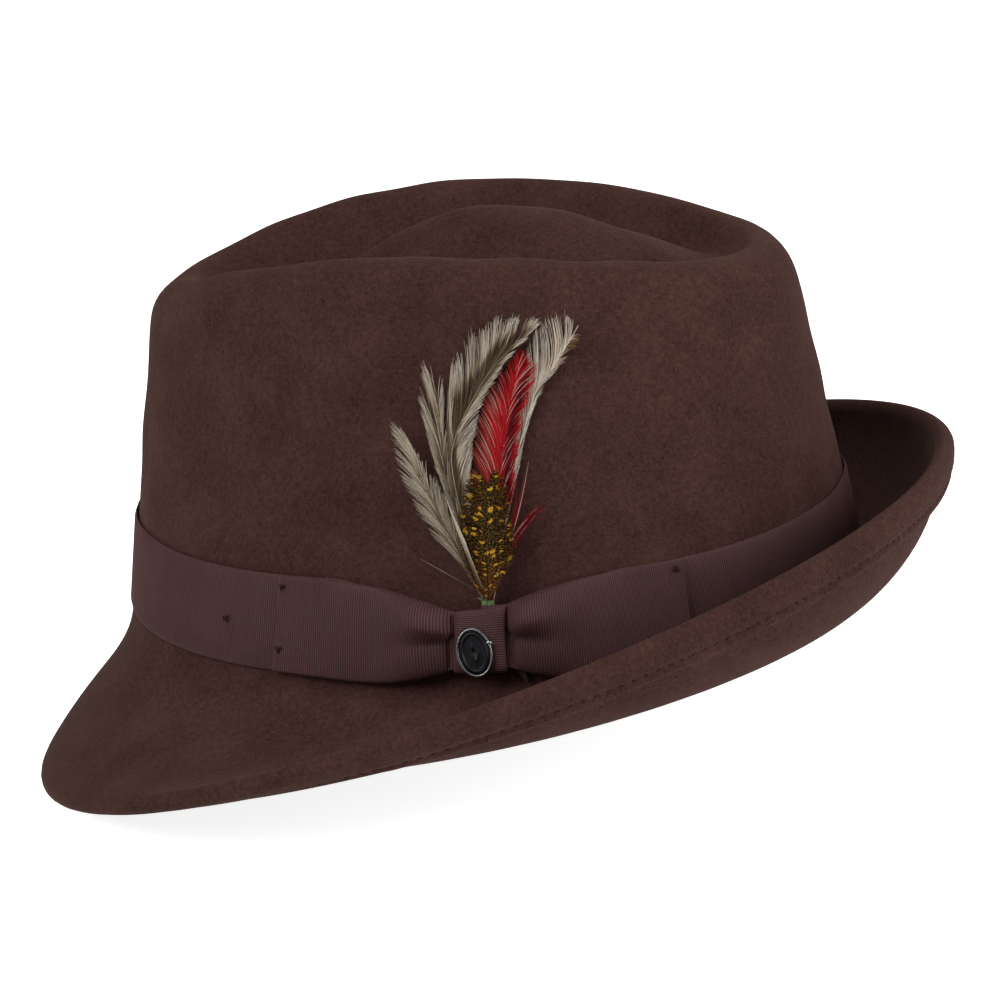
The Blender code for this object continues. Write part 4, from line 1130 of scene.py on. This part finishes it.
def make_red_feather():
    """The red feather: a close web with painted shade in a valley behind its shaft, pinkish at its front
    hem.
    """
    shaft = [(99.0, BASE), (101.7, 0.0559), (103.6, 0.0687), (105.5, 0.0787), (107.3, 0.0861)]
    hems = [[(96.8, 0.0500), (97.4, 0.0600), (98.7, 0.0680), (101.2, 0.0775), (104.2, 0.0828),
             (107.1, 0.0872)],
            [(103.6, 0.0500), (105.7, 0.0651), (107.6, 0.0735), (109.4, 0.0798), (109.4, 0.0825),
             (107.5, 0.0872)]]
    out = rising(0.0020, 0.0008)
    feet = ((0.04, 0.92), (0.06, 0.90))
    lines, place, beside = make_barbs(shaft, hems, (420, 380), (16, 14), feet, out, drawn=0.35)
    front = ease((-beside - 0.0014) / 0.0026)
    # painted shade: barbs in a band behind the shaft are darkened as if that part of the flat web lay in a
    # shaded valley
    painted_valley_shade = bell(beside, 0.0026, 0.0013) * (1 - ease((place[:, None] - 0.75) / 0.2))
    light = random.random((len(place), 1)) ** 1.5
    shade = 0.47 + 0.50 * front * light - 0.36 * painted_valley_shade + 0.12 * ease((beside - 0.0042) / 0.001) * light
    finish = barb_finish("red_feather", [(0.0, (0.040, 0.0012, 0.0025)), (0.25, (0.090, 0.0022, 0.0042)),
                                         (0.50, (0.25, 0.0045, 0.0070)), (0.72, (0.30, 0.040, 0.036)),
                                         (1.0, (0.32, 0.165, 0.135))], (0.30, 0.17, 0.14), 0.05)
    return make_feather("red_web_feather", shaft, lines, 0.00036, barb_values(shade, 0.40), finish,
                        0.00045, out, ["feather_red"])


def make_upper_hackle():
    """The upper front hackle: a brown web that opens into long cream points."""
    shaft = [(98.3, BASE), (95.6, 0.0403), (93.8, 0.0522), (93.2, 0.0620), (93.1, 0.0685)]
    hems = [[(92.0, 0.0580), (90.7, 0.0690), (89.7, 0.0757), (90.3, 0.0790), (91.3, 0.0838),
             (92.1, 0.0838)],
            [(95.0, 0.0540), (94.6, 0.0640), (94.0, 0.0728), (93.9, 0.0850)]]
    out = rising(0.0030, 0.0010)
    feet = ((0.15, 0.95), (0.20, 0.95))
    lines, place, _ = make_barbs(shaft, hems, (230, 120), (5, 3), feet, out, 0.6)
    share = barb_share(lines)
    shade = 0.20 + 0.70 * ease((share - 0.35) / 0.5) * (0.6 + 0.4 * place[:, None])
    return make_feather("upper_brown_hackle", shaft, lines, 0.00026, barb_values(shade, 0.40), brown_hackle,
                        0.00045, out, ["feather_upper_hackle"])


def make_broad_hackle():
    """The broad hackle: a dark olive stripe either side of a tan shaft, and long cream barbs outside."""
    shaft = [(98.4, BASE), (96.0, 0.0424), (94.7, 0.0571), (95.3, 0.0640), (97.9, 0.0725), (102.6, 0.0828),
             (109.6, 0.0915)]
    hems = [[(94.8, 0.0680), (95.3, 0.0790), (96.9, 0.0886), (99.8, 0.0905), (103.0, 0.0940),
             (107.0, 0.0948),
             (111.0, 0.0935)],
            [(96.8, 0.0540), (98.2, 0.0640), (100.4, 0.0740), (103.2, 0.0812), (106.0, 0.0860),
             (109.0, 0.0903),
             (111.2, 0.0935)]]
    out = rising(0.0040, 0.0012)
    lines, place, beside = make_barbs(shaft, hems, (470, 400), (9, 10), ((0.20, 0.90), (0.10, 0.90)), out)
    stripe = 1 - ease((np.abs(beside) - 0.0017) / 0.0012)
    stripe *= 1 - ease((barb_share(lines) - 0.62) / 0.25)
    low = 1 - ease((place[:, None] - 0.15) / 0.40)
    cream = 0.60 + 0.36 * barb_share(lines)
    shade = cream * (1 - stripe) + stripe * (0.08 + 0.20 * low * (beside < 0))
    return make_feather("broad_striped_hackle", shaft, lines, 0.00028, barb_values(shade, 0.60),
                        striped_hackle, 0.00042, out, ["feather_broad_hackle"])


def make_lower_hackle():
    """The lower front hackle, a bundle of its cream strands that crosses the spotted feather's foot, and
    one stray barb that leaves towards the front."""
    shaft = [(98.1, BASE), (95.1, 0.0349), (92.1, 0.0464), (89.9, 0.0573)]
    hems = [[(91.2, 0.0400), (89.2, 0.0475), (87.0, 0.0562), (86.3, 0.0620), (85.7, 0.0680),
             (86.2, 0.0695)],
            [(95.6, 0.0430), (92.9, 0.0523), (90.2, 0.0600), (86.3, 0.0692)]]
    out = rising(0.0046, 0.0006)
    feet = ((0.06, 0.93), (0.10, 0.93))
    lines, place, _ = make_barbs(shaft, hems, (230, 170), (5, 4), feet, out, 0.6)
    share = np.linspace(0, 1, lines.shape[1])[None, :, None]
    count = 46
    fan = (np.arange(count) + random.random(count))[:, None, None] / count
    foot = np.array([-0.0004, 0.0232, 0.0052]) + fan * np.array([0.0008, 0.0, 0.0])
    tip = np.array([-0.0098, 0.0512, 0.0072]) + fan * np.array([0.0056, -0.0130, 0.0008])
    bundle = foot + (tip - foot) * share + np.array([0.0, 0.0, 0.0050]) * share * (1 - share)
    stray_foot, stray_tip = np.array([[-0.0020, 0.0252, 0.0040]]), np.array([[-0.0182, 0.0339, 0.0022]])
    stray = stray_foot * (1 - share) + stray_tip * share
    lines = np.concatenate([lines, bundle, stray])
    place = np.concatenate([place, np.full(count + 1, 0.5)])
    shade = 0.24 + 0.60 * ease((barb_share(lines) - 0.15) / 0.6) * (0.6 + 0.4 * place[:, None])
    return make_feather("lower_brown_hackle", shaft, lines, 0.00026, barb_values(shade, 0.45), brown_hackle,
                        0.00045, out, ["feather_lower_hackle"])


def make_red_strands():
    """Loose red barbs behind the spotted feather, with a few pale ones."""
    shaft = [(99.3, BASE), (101.5, 0.0330), (103.0, 0.0385), (104.2, 0.0412)]
    hems = [[(102.6, 0.0430), (104.0, 0.0490), (105.6, 0.0545), (107.2, 0.0585)],
            [(106.4, 0.0450), (108.0, 0.0460), (109.2, 0.0466), (107.0, 0.0486)]]
    out = rising(0.0048, 0.0008)
    feet = ((0.0, 0.6), (0.1, 0.97))
    lines, _, _ = make_barbs(shaft, hems, (22, 34), (6, 3), feet, out, 0.5, 0.12)
    shade = 0.35 + 0.25 * barb_share(lines)
    finish = barb_finish("red_strands", [(0.0, (0.035, 0.0012, 0.0025)), (0.5, (0.095, 0.0026, 0.0048)),
                                         (1.0, (0.17, 0.012, 0.014))], (0.27, 0.20, 0.17), 0.12)
    return make_feather("red_strand_barbs", shaft, lines, 0.00026, barb_values(shade, 0.4), finish,
                        0.00026, out, ["feather_red_strands"])


def make_spotted_feather():
    """The short spotted feather in front: a close web, ragged at its tip, with a loose fringe."""
    shaft = [(98.9, BASE), (99.1, 0.0360), (99.5, 0.0450), (100.2, 0.0530)]
    hems = [[(97.9, 0.0250), (96.2, 0.0300), (95.1, 0.0380), (95.8, 0.0480), (96.6, 0.0530),
             (98.6, 0.0562)],
            [(99.9, 0.0250), (101.4, 0.0290), (103.4, 0.0360), (103.1, 0.0470), (102.9, 0.0530),
             (101.4, 0.0568)]]
    out = rising(0.0060, 0.0004)
    feet = ((0.0, 0.90), (0.0, 0.90))
    lines, place, beside = make_barbs(shaft, hems, (300, 300), (30, 30), feet, out, 0.5, 0.03)
    share = barb_share(lines)
    rust = np.clip(0.9 * ease((0.42 - place[:, None]) / 0.35) + 0.25 * share ** 3, 0, 0.85)
    chance = np.repeat(random.random((len(place), 1)), lines.shape[1], 1)
    values = {"along": lines[..., 1] * 1000 - np.abs(beside) * 250, "across": lines[..., 0] * 1000,
              "rust": rust, "chance": chance,
              "shaft": {"along": 0.0, "across": 0.0, "rust": 0.2, "chance": 0.5}}
    return make_feather("spotted_gold_feather", shaft, lines, 0.00048, values, spotted_finish(),
                        0.00024, out, ["feather_spotted"])


def make_tape():
    """The taped quills: a flat stem with a spiral lap, and a small torn spur at its side."""
    rows = 60
    share = np.linspace(0, 1, rows)[:, None]
    height = STEM_BOTTOM + (STEM_TOP - STEM_BOTTOM) * share
    flare = ease((height - FLARE_START) / FLARE_RUN)
    turn = turns(24)[None, :]
    lap = TAPE_THICKNESS * ((turn / (2 * math.pi) + height / TAPE_PITCH) % 1.0)
    width = 0.0017 * (0.7 + 0.35 * flare) + lap
    depth = 0.0006 * (1 + 0.9 * flare) + lap
    angle = STEM_ANGLE + width * np.cos(turn) / METRES_PER_DEGREE
    points = on_wall(angle, height + 0.0 * turn, 0.0009 + 0.0016 * flare + depth * np.sin(turn))
    spur_share = np.linspace(0, 1, 9)
    spur = np.stack([-0.0012 - 0.0016 * spur_share, 0.0226 + 0.0016 * spur_share - 0.0004 * spur_share ** 2,
                     0.0030 + 0.0004 * np.sin(3 * spur_share)], -1)
    more, spur_faces = strands(spur[None], (0.0006 * (1.05 - spur_share ** 2))[None], 0.3)
    faces = tube_faces(rows, 24) + [f + rows * 24 for f in spur_faces]
    return make_piece("floral_tape", np.concatenate([points.reshape(-1, 3), more]), faces, tape,
                      "feather_mount", ["feather_tape"])


# ---------------------------------------------------------------------------------------------------
# Badge
# ---------------------------------------------------------------------------------------------------

def badge_axes():
    """Centre of the badge's back, the direction it faces, and its tilted up and side directions."""
    centre = on_wall(BADGE_ANGLE, BADGE_HEIGHT, BADGE_OUT)
    normal = on_wall(BADGE_ANGLE, BADGE_HEIGHT, BADGE_OUT + 1.0) - centre
    up = np.array([0.0, 0.0, 1.0]) - normal * normal[2]
    up /= np.linalg.norm(up)
    side = np.cross(up, normal)
    tilt = math.radians(BADGE_TILT)
    c, s = math.cos(tilt), math.sin(tilt)
    return centre, normal, up * c - side * s, side * c + up * s


def oval_points(profile, sides):
    """An oval turning: each profile point is an inset from the badge's outline and a height above its
    back, carried round the oval."""
    centre, normal, up, side = badge_axes()
    inset, height = np.asarray(profile, float).T[:, :, None]
    turn = turns(sides)[None, :]
    x = (BADGE_HALF_WIDTH - inset) * np.cos(turn)
    y = (BADGE_HALF_HEIGHT - inset) * np.sin(turn)
    return centre + x[..., None] * side + y[..., None] * up + (height + 0 * x)[..., None] * normal


def round_points(profile, sides):
    """A round turning on the badge's axis: each profile point is a radius and a height above its back."""
    centre, normal, up, side = badge_axes()
    spin = turns(sides)[:, None]
    spoke = np.cos(spin) * side + np.sin(spin) * up
    return np.array([centre + height * normal + radius * spoke for radius, height in profile])


def arc(centre_inset, centre_height, radius, start, end, count):
    """Profile points on an arc, in degrees."""
    turn = np.radians(np.linspace(start, end, count))
    return [(centre_inset + radius * math.cos(a), centre_height + radius * math.sin(a)) for a in turn]


def make_badge():
    """Oval pin badge: black plate with a raised inner ring, thin bright rim, a plain lozenge, a catch
    hooked over its rim, and the post and clutch behind."""
    plate = [(0.0010, 0.0), (0.0010, 0.0008)] + arc(0.0016, 0.00085, 0.0004, 180, 60, 8)
    plate += arc(0.0022, 0.00065, 0.00012, 200, 270, 3) + [(0.0030, 0.00055), (0.0040, 0.00060)]
    make_piece("badge_black_plate", oval_points(plate, 96), tube_faces(len(plate), 96), enamel, "badge",
               ["badge_plate"])
    rim = arc(0.00040, 0.00055, 0.00040, 240, -60, 22)
    make_piece("badge_bright_rim", oval_points(rim, 120), [grid_faces(22, 120, True, True)], gunmetal,
               "badge", ["badge_rim"])
    centre, normal, up, side = badge_axes()
    share = np.array([1.0, 0.97, 0.80, 0.45, 0.40])[:, None, None]
    rise = np.array([0.0, 0.00034, 0.00042, 0.00042, 0.00020])[:, None, None]
    turn = np.linspace(0, 2 * math.pi, 33)[:-1]
    c, s = power_circle(turn, 1.25)
    lozenge = (0.0016 * c[:, None] * side + 0.0029 * s[:, None] * up)[None]
    points = centre + 0.00050 * normal + share * lozenge + rise * normal
    make_piece("badge_lozenge", points, tube_faces(5, 32), enamel, "badge", ["badge_emblem"])
    bend = centre + 0.0044 * side + 0.0010 * up
    turn = np.radians(np.linspace(-50, 150, 18))
    sweep = turn[:, None]
    path = (bend + 0.0008 * np.cos(sweep) * side + 0.0011 * np.sin(sweep) * (0.8 * up + 0.6 * normal)
            + 0.0006 * normal)
    rings = tube_points(path, 0.00020 + 0.00004 * np.cos(turn), 8, False)
    make_piece("badge_hook", rings, tube_faces(18, 8), silver, "badge", ["badge_catch"])
    post = ((0.00020, -0.0020), (0.00045, -0.0018), (0.00045, -0.0010), (0.00038, -0.0009),
            (0.00045, -0.0008), (0.00045, 0.0))
    make_piece("badge_pin_post", round_points(post, 20), tube_faces(6, 20), silver, "badge",
               ["badge_post"])
    clutch = ((0.00075, -0.0021), (0.0019, -0.0021), (0.0023, -0.0019), (0.0023, -0.0016),
              (0.0021, -0.0014), (0.0010, -0.0014), (0.00075, -0.0015))
    make_piece("badge_spring_clutch", round_points(clutch, 32), [grid_faces(7, 32, True, True)], silver,
               "badge", ["badge_clutch"])


# ---------------------------------------------------------------------------------------------------
# Inside of the hat
# ---------------------------------------------------------------------------------------------------

def inner_ring(t, z, depth):
    """A level ring inside the crown, depth in from the outer felt face."""
    half_way = np.full_like(t, 0.5)
    ring = on_wall(np.degrees(t), z + depth * wall_normal(t, half_way)[..., 2], -depth, 1.0)
    ring[..., 2] = z
    return ring


def inner_hoop(heights, front, back, columns):
    """A cloth hoop inside the crown: rows up its inner face at the front depth, which may vary round the
    hat and with height, and down its outer face at the back depth. Its UV map is in millimetres round
    the hoop and up it."""
    t = turns(columns)
    rows = [inner_ring(t, z, front(t, z)) for z in heights]
    rows += [inner_ring(t, z, back + 0.0 * t) for z in heights[::-1]]
    around = np.broadcast_to(np.arange(columns) * 560.0 / columns, (len(rows), columns))
    up = np.concatenate([heights, heights[::-1]])[:, None] * 1000 + 0 * around
    return np.array(rows), [grid_faces(len(rows), columns, True, True)], np.stack([around, up], -1)


def make_sweatband():
    """Leather sweatband: gently rounded face, stitch row and rolled edge at its top, with the overlap
    seam at the back."""
    top_rows = [0.0315, 0.0322, 0.0330, 0.0338, 0.0345, SWEAT_TOP]
    heights = np.concatenate([np.linspace(SWEAT_BOTTOM, 0.0305, 14), top_rows])

    def front(t, z):
        dimple = 0.00018 * bell(z, 0.0322, 0.0008) * (1.2 + np.cos(260 * t))
        seam = 0.0003 * bell(t, math.pi + 0.02, 0.006) - 0.0002 * bell(t, math.pi - 0.02, 0.02)
        wave = 0.00010 * np.sin(11 * t + 1) + 0.00008 * np.sin(19 * t)
        top = 0.0005 * ease((z - 0.0340) / 0.0010)
        return LINED + SWEATBAND - dimple + wave - seam - top

    rows, faces, uv = inner_hoop(heights, front, LINED, 1040)
    return make_piece("leather_sweatband", rows, faces, leather, "hat", ["sweatband"], uv)


def make_reed():
    """The reed cord along the foot of the sweatband."""
    t = turns(420)
    path = inner_ring(t, SWEAT_BOTTOM - GAP - REED_RADIUS, LINED + SWEATBAND / 2 + 0 * t)
    rings = tube_points(path, REED_RADIUS, 10, True)
    return make_piece("sweatband_reed_cord", rings, [grid_faces(420, 10, True, True)], reed, "hat",
                      ["sweatband_reed"])


def make_lining_side():
    """Satin side lining with soft vertical pleats that deepen towards the tip."""
    depth = FELT + GAP
    heights = np.linspace(LINING_BOTTOM, LINING_TIP + LINING, 22)

    def front(t, z):
        up = (z - LINING_BOTTOM) / (LINING_TIP - LINING_BOTTOM)
        pleat = 0.5 + 0.5 * np.sin(44 * t + 1.6 * np.sin(3 * t) + 0.8 * np.sin(7 * t))
        return depth + LINING + 0.0014 * pleat ** 2 * up ** 1.3 * (1.15 - up)

    rows, faces, uv = inner_hoop(heights, front, depth, 880)
    piece = make_piece("satin_side_lining", rows, faces, satin, "hat", ["lining_side"], uv)
    return piece


def make_lining_tip():
    """Satin tip: a flat oval that puckers in small radial folds at its sewn edge."""
    columns = 480
    t = turns(columns)
    rim = inner_ring(t, LINING_TIP, LINED + 0 * t)
    shares = np.linspace(1, 0, 26)[:-1]
    lower, upper = [], []
    for share in shares:
        ring = rim * np.array([share, share, 1.0])
        pucker = 0.0006 * (0.5 + 0.5 * np.sin(88 * t + np.sin(5 * t))) * ease((share - 0.82) / 0.15)
        sag = 0.0006 * (1 - share ** 2)
        lower.append(ring + np.stack([0 * t, 0 * t, pucker + sag], -1))
        upper.append(ring + np.stack([0 * t, 0 * t, pucker + sag + LINING], -1))
    rows = np.array(lower[::-1] + upper)
    middle = np.array([0.0, 0.0, LINING_TIP + 0.0006])
    points = np.concatenate([rows.reshape(-1, 3), [middle, middle + np.array([0.0, 0.0, LINING])]])
    faces = [grid_faces(len(rows), columns, False, True)] + end_fans(columns, len(rows) * columns)
    piece = make_piece("satin_tip_lining", points, faces, satin, "hat", ["lining_tip"],
                       points[:, :2] * 1000)
    return piece


def make_sweatband_bow():
    """The small flat bow at the back of the sweatband, pinched in its middle."""
    across = np.linspace(-1, 1, 61)[:, None]
    tall = np.linspace(-1, 1, 15)[None, :]
    half_height = 0.0014 + 0.0030 * np.abs(across) ** 0.8
    angle = 180.0 + 6.0 * across + 0.0 * tall
    height = 0.0135 + half_height * tall
    inside = -(LINED + SWEATBAND + GAP + 0.0003)
    puff = 0.0003 * np.sin(math.pi * np.abs(across)) * (1 - tall ** 2)
    puff = puff + 0.0001 * np.cos(9 * tall) * (1 - np.abs(across))
    points = on_wall(angle, height, inside - puff)
    uv = np.stack([across * 11 + 0 * tall, tall * 4 + 0 * across], -1)
    points = thick_sheet(points, np.full(points.shape[:2], 0.0004))
    return make_piece("sweatband_small_bow", points, sheet_faces(61, 15), ribbon, "hat", ["sweatband_bow"],
                      np.concatenate([uv, uv]), {"rib": np.ones(len(points))})


def make_label():
    """The blank woven label on the lining, hemmed round its edge."""
    across = np.linspace(-1, 1, 49)[:, None]
    tall = np.linspace(-1, 1, 25)[None, :]
    inside = -(LINED + 0.0002)
    edge = np.maximum(np.abs(across), np.abs(tall))
    hem = 0.00012 * bell(edge, 0.93, 0.05)
    points = on_wall(152.0 + 6.0 * across, 0.0470 + 0.0070 * tall, inside - hem)
    uv = np.stack([across * 11 + 0 * tall, tall * 7 + 0 * across], -1)
    return make_piece("blank_size_label", thick_sheet(points, np.full(points.shape[:2], 0.0003)),
                      sheet_faces(49, 25), label, "hat", ["size_label"], np.concatenate([uv, uv]))


# ---------------------------------------------------------------------------------------------------
# Studio
# ---------------------------------------------------------------------------------------------------

def make_camera():
    """The camera: a long lens level with the brim's left side, a little above it."""
    sight = bpy.data.cameras.new("camera")
    sight.lens = 140.76
    sight.sensor_width = 36.0
    sight.clip_start = 0.05
    camera = bpy.data.objects.new("camera", sight)
    bpy.context.scene.collection.objects.link(camera)
    tip, roll, swing = 0.28573, -0.22076, 0.08648
    turn_x, turn_y, turn_z = (np.array(Matrix.Rotation(angle, 3, axis), float)
                              for angle, axis in ((tip, "X"), (roll, "Y"), (swing, "Z")))
    axes = turn_z @ turn_x @ turn_y @ np.array([[0.0, 1.0, 0.0], [0.0, 0.0, 1.0], [1.0, 0.0, 0.0]])
    matrix = np.eye(4)
    matrix[:3, :3] = axes.T
    matrix[:3, 3] = (1.05168, 0.23930, 0.34207)
    camera.matrix_world = Matrix(matrix.tolist())
    bpy.context.scene.camera = camera


def make_light(name, place, size, power, colour=(1.0, 1.0, 1.0)):
    """A soft square light that looks at the middle of the crown."""
    lamp = bpy.data.lights.new(name, "AREA")
    lamp.size = size
    lamp.energy = power
    lamp.color = colour
    holder = bpy.data.objects.new(name, lamp)
    bpy.context.scene.collection.objects.link(holder)
    back = np.array(place) - np.array([0.0, 0.0, 0.04])
    back /= np.linalg.norm(back)
    side = np.cross([0.0, 0.0, 1.0], back)
    side = side / np.linalg.norm(side) if np.linalg.norm(side) > 1e-3 else np.array([1.0, 0.0, 0.0])
    matrix = np.eye(4)
    matrix[:3, 0], matrix[:3, 1], matrix[:3, 2], matrix[:3, 3] = side, np.cross(back, side), back, place
    holder.matrix_world = Matrix(matrix.tolist())


def make_studio():
    """Pale floor just under the brim, white surroundings and three soft lights."""
    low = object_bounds()[0].z
    turn = turns(64)
    ring = np.stack([np.cos(turn) * 6, np.sin(turn) * 6, np.full(64, low - 0.0006)], -1)
    mesh = bpy.data.meshes.new("floor")
    mesh.from_pydata(ring.tolist(), [], [list(range(64))])
    finish, tree, shader = new_finish("pale_floor", Roughness=0.9, Specular_IOR_Level=0.1)
    shader.inputs["Base Color"].default_value = (0.86, 0.86, 0.86, 1.0)
    shader.inputs["Emission Color"].default_value = (1.0, 1.0, 1.0, 1.0)
    path = add_node(tree, "ShaderNodeLightPath")
    glow = maths(tree, "MULTIPLY_ADD", path.outputs["Is Camera Ray"], 0.60, 0.22)
    tree.links.new(glow, shader.inputs["Emission Strength"])
    mesh.materials.append(finish)
    floor = bpy.data.objects.new("floor", mesh)
    bpy.context.scene.collection.objects.link(floor)
    world = bpy.data.worlds.new("white_surroundings")
    bpy.context.scene.world = world
    world.use_nodes = True
    tree = world.node_tree
    lit = tree.nodes["Background"]
    lit.inputs["Color"].default_value = (1.0, 1.0, 1.0, 1.0)
    lit.inputs["Strength"].default_value = 0.27
    seen = add_node(tree, "ShaderNodeBackground", {"Color": (1.0, 1.0, 1.0, 1.0), "Strength": 1.0})
    path = add_node(tree, "ShaderNodeLightPath")
    both = add_node(tree, "ShaderNodeMixShader", {0: path.outputs["Is Camera Ray"], 1: lit.outputs[0],
                                                  2: seen.outputs[0]})
    tree.links.new(both.outputs[0], tree.nodes["World Output"].inputs["Surface"])
    make_light("key_light", (1.2, -1.0, 1.25), 1.1, 29.0)
    make_light("fill_light", (0.40, 1.75, 0.6), 1.3, 36.0)
    make_light("top_light", (0.3, 0.1, 1.6), 1.2, 12.0)
    bpy.context.scene.view_settings.view_transform = "Standard"


make_felt_body()
make_welt_stitches()
make_hatband()
make_bow_loop("bow_front_ribbon", FOLD_FRONT, BOW_CENTRE - 0.3, ["bow_front_loop"])
make_bow_loop("bow_rear_ribbon", FOLD_REAR, BOW_CENTRE + 0.3, ["bow_rear_loop"])
make_knot()
make_tail()
make_tacks()
make_curled_hackle()
make_red_feather()
make_upper_hackle()
make_broad_hackle()
make_lower_hackle()
make_red_strands()
make_spotted_feather()
make_tape()
make_badge()
make_sweatband()
make_reed()
make_lining_side()
make_lining_tip()
make_sweatband_bow()
make_label()
make_camera()
make_studio()
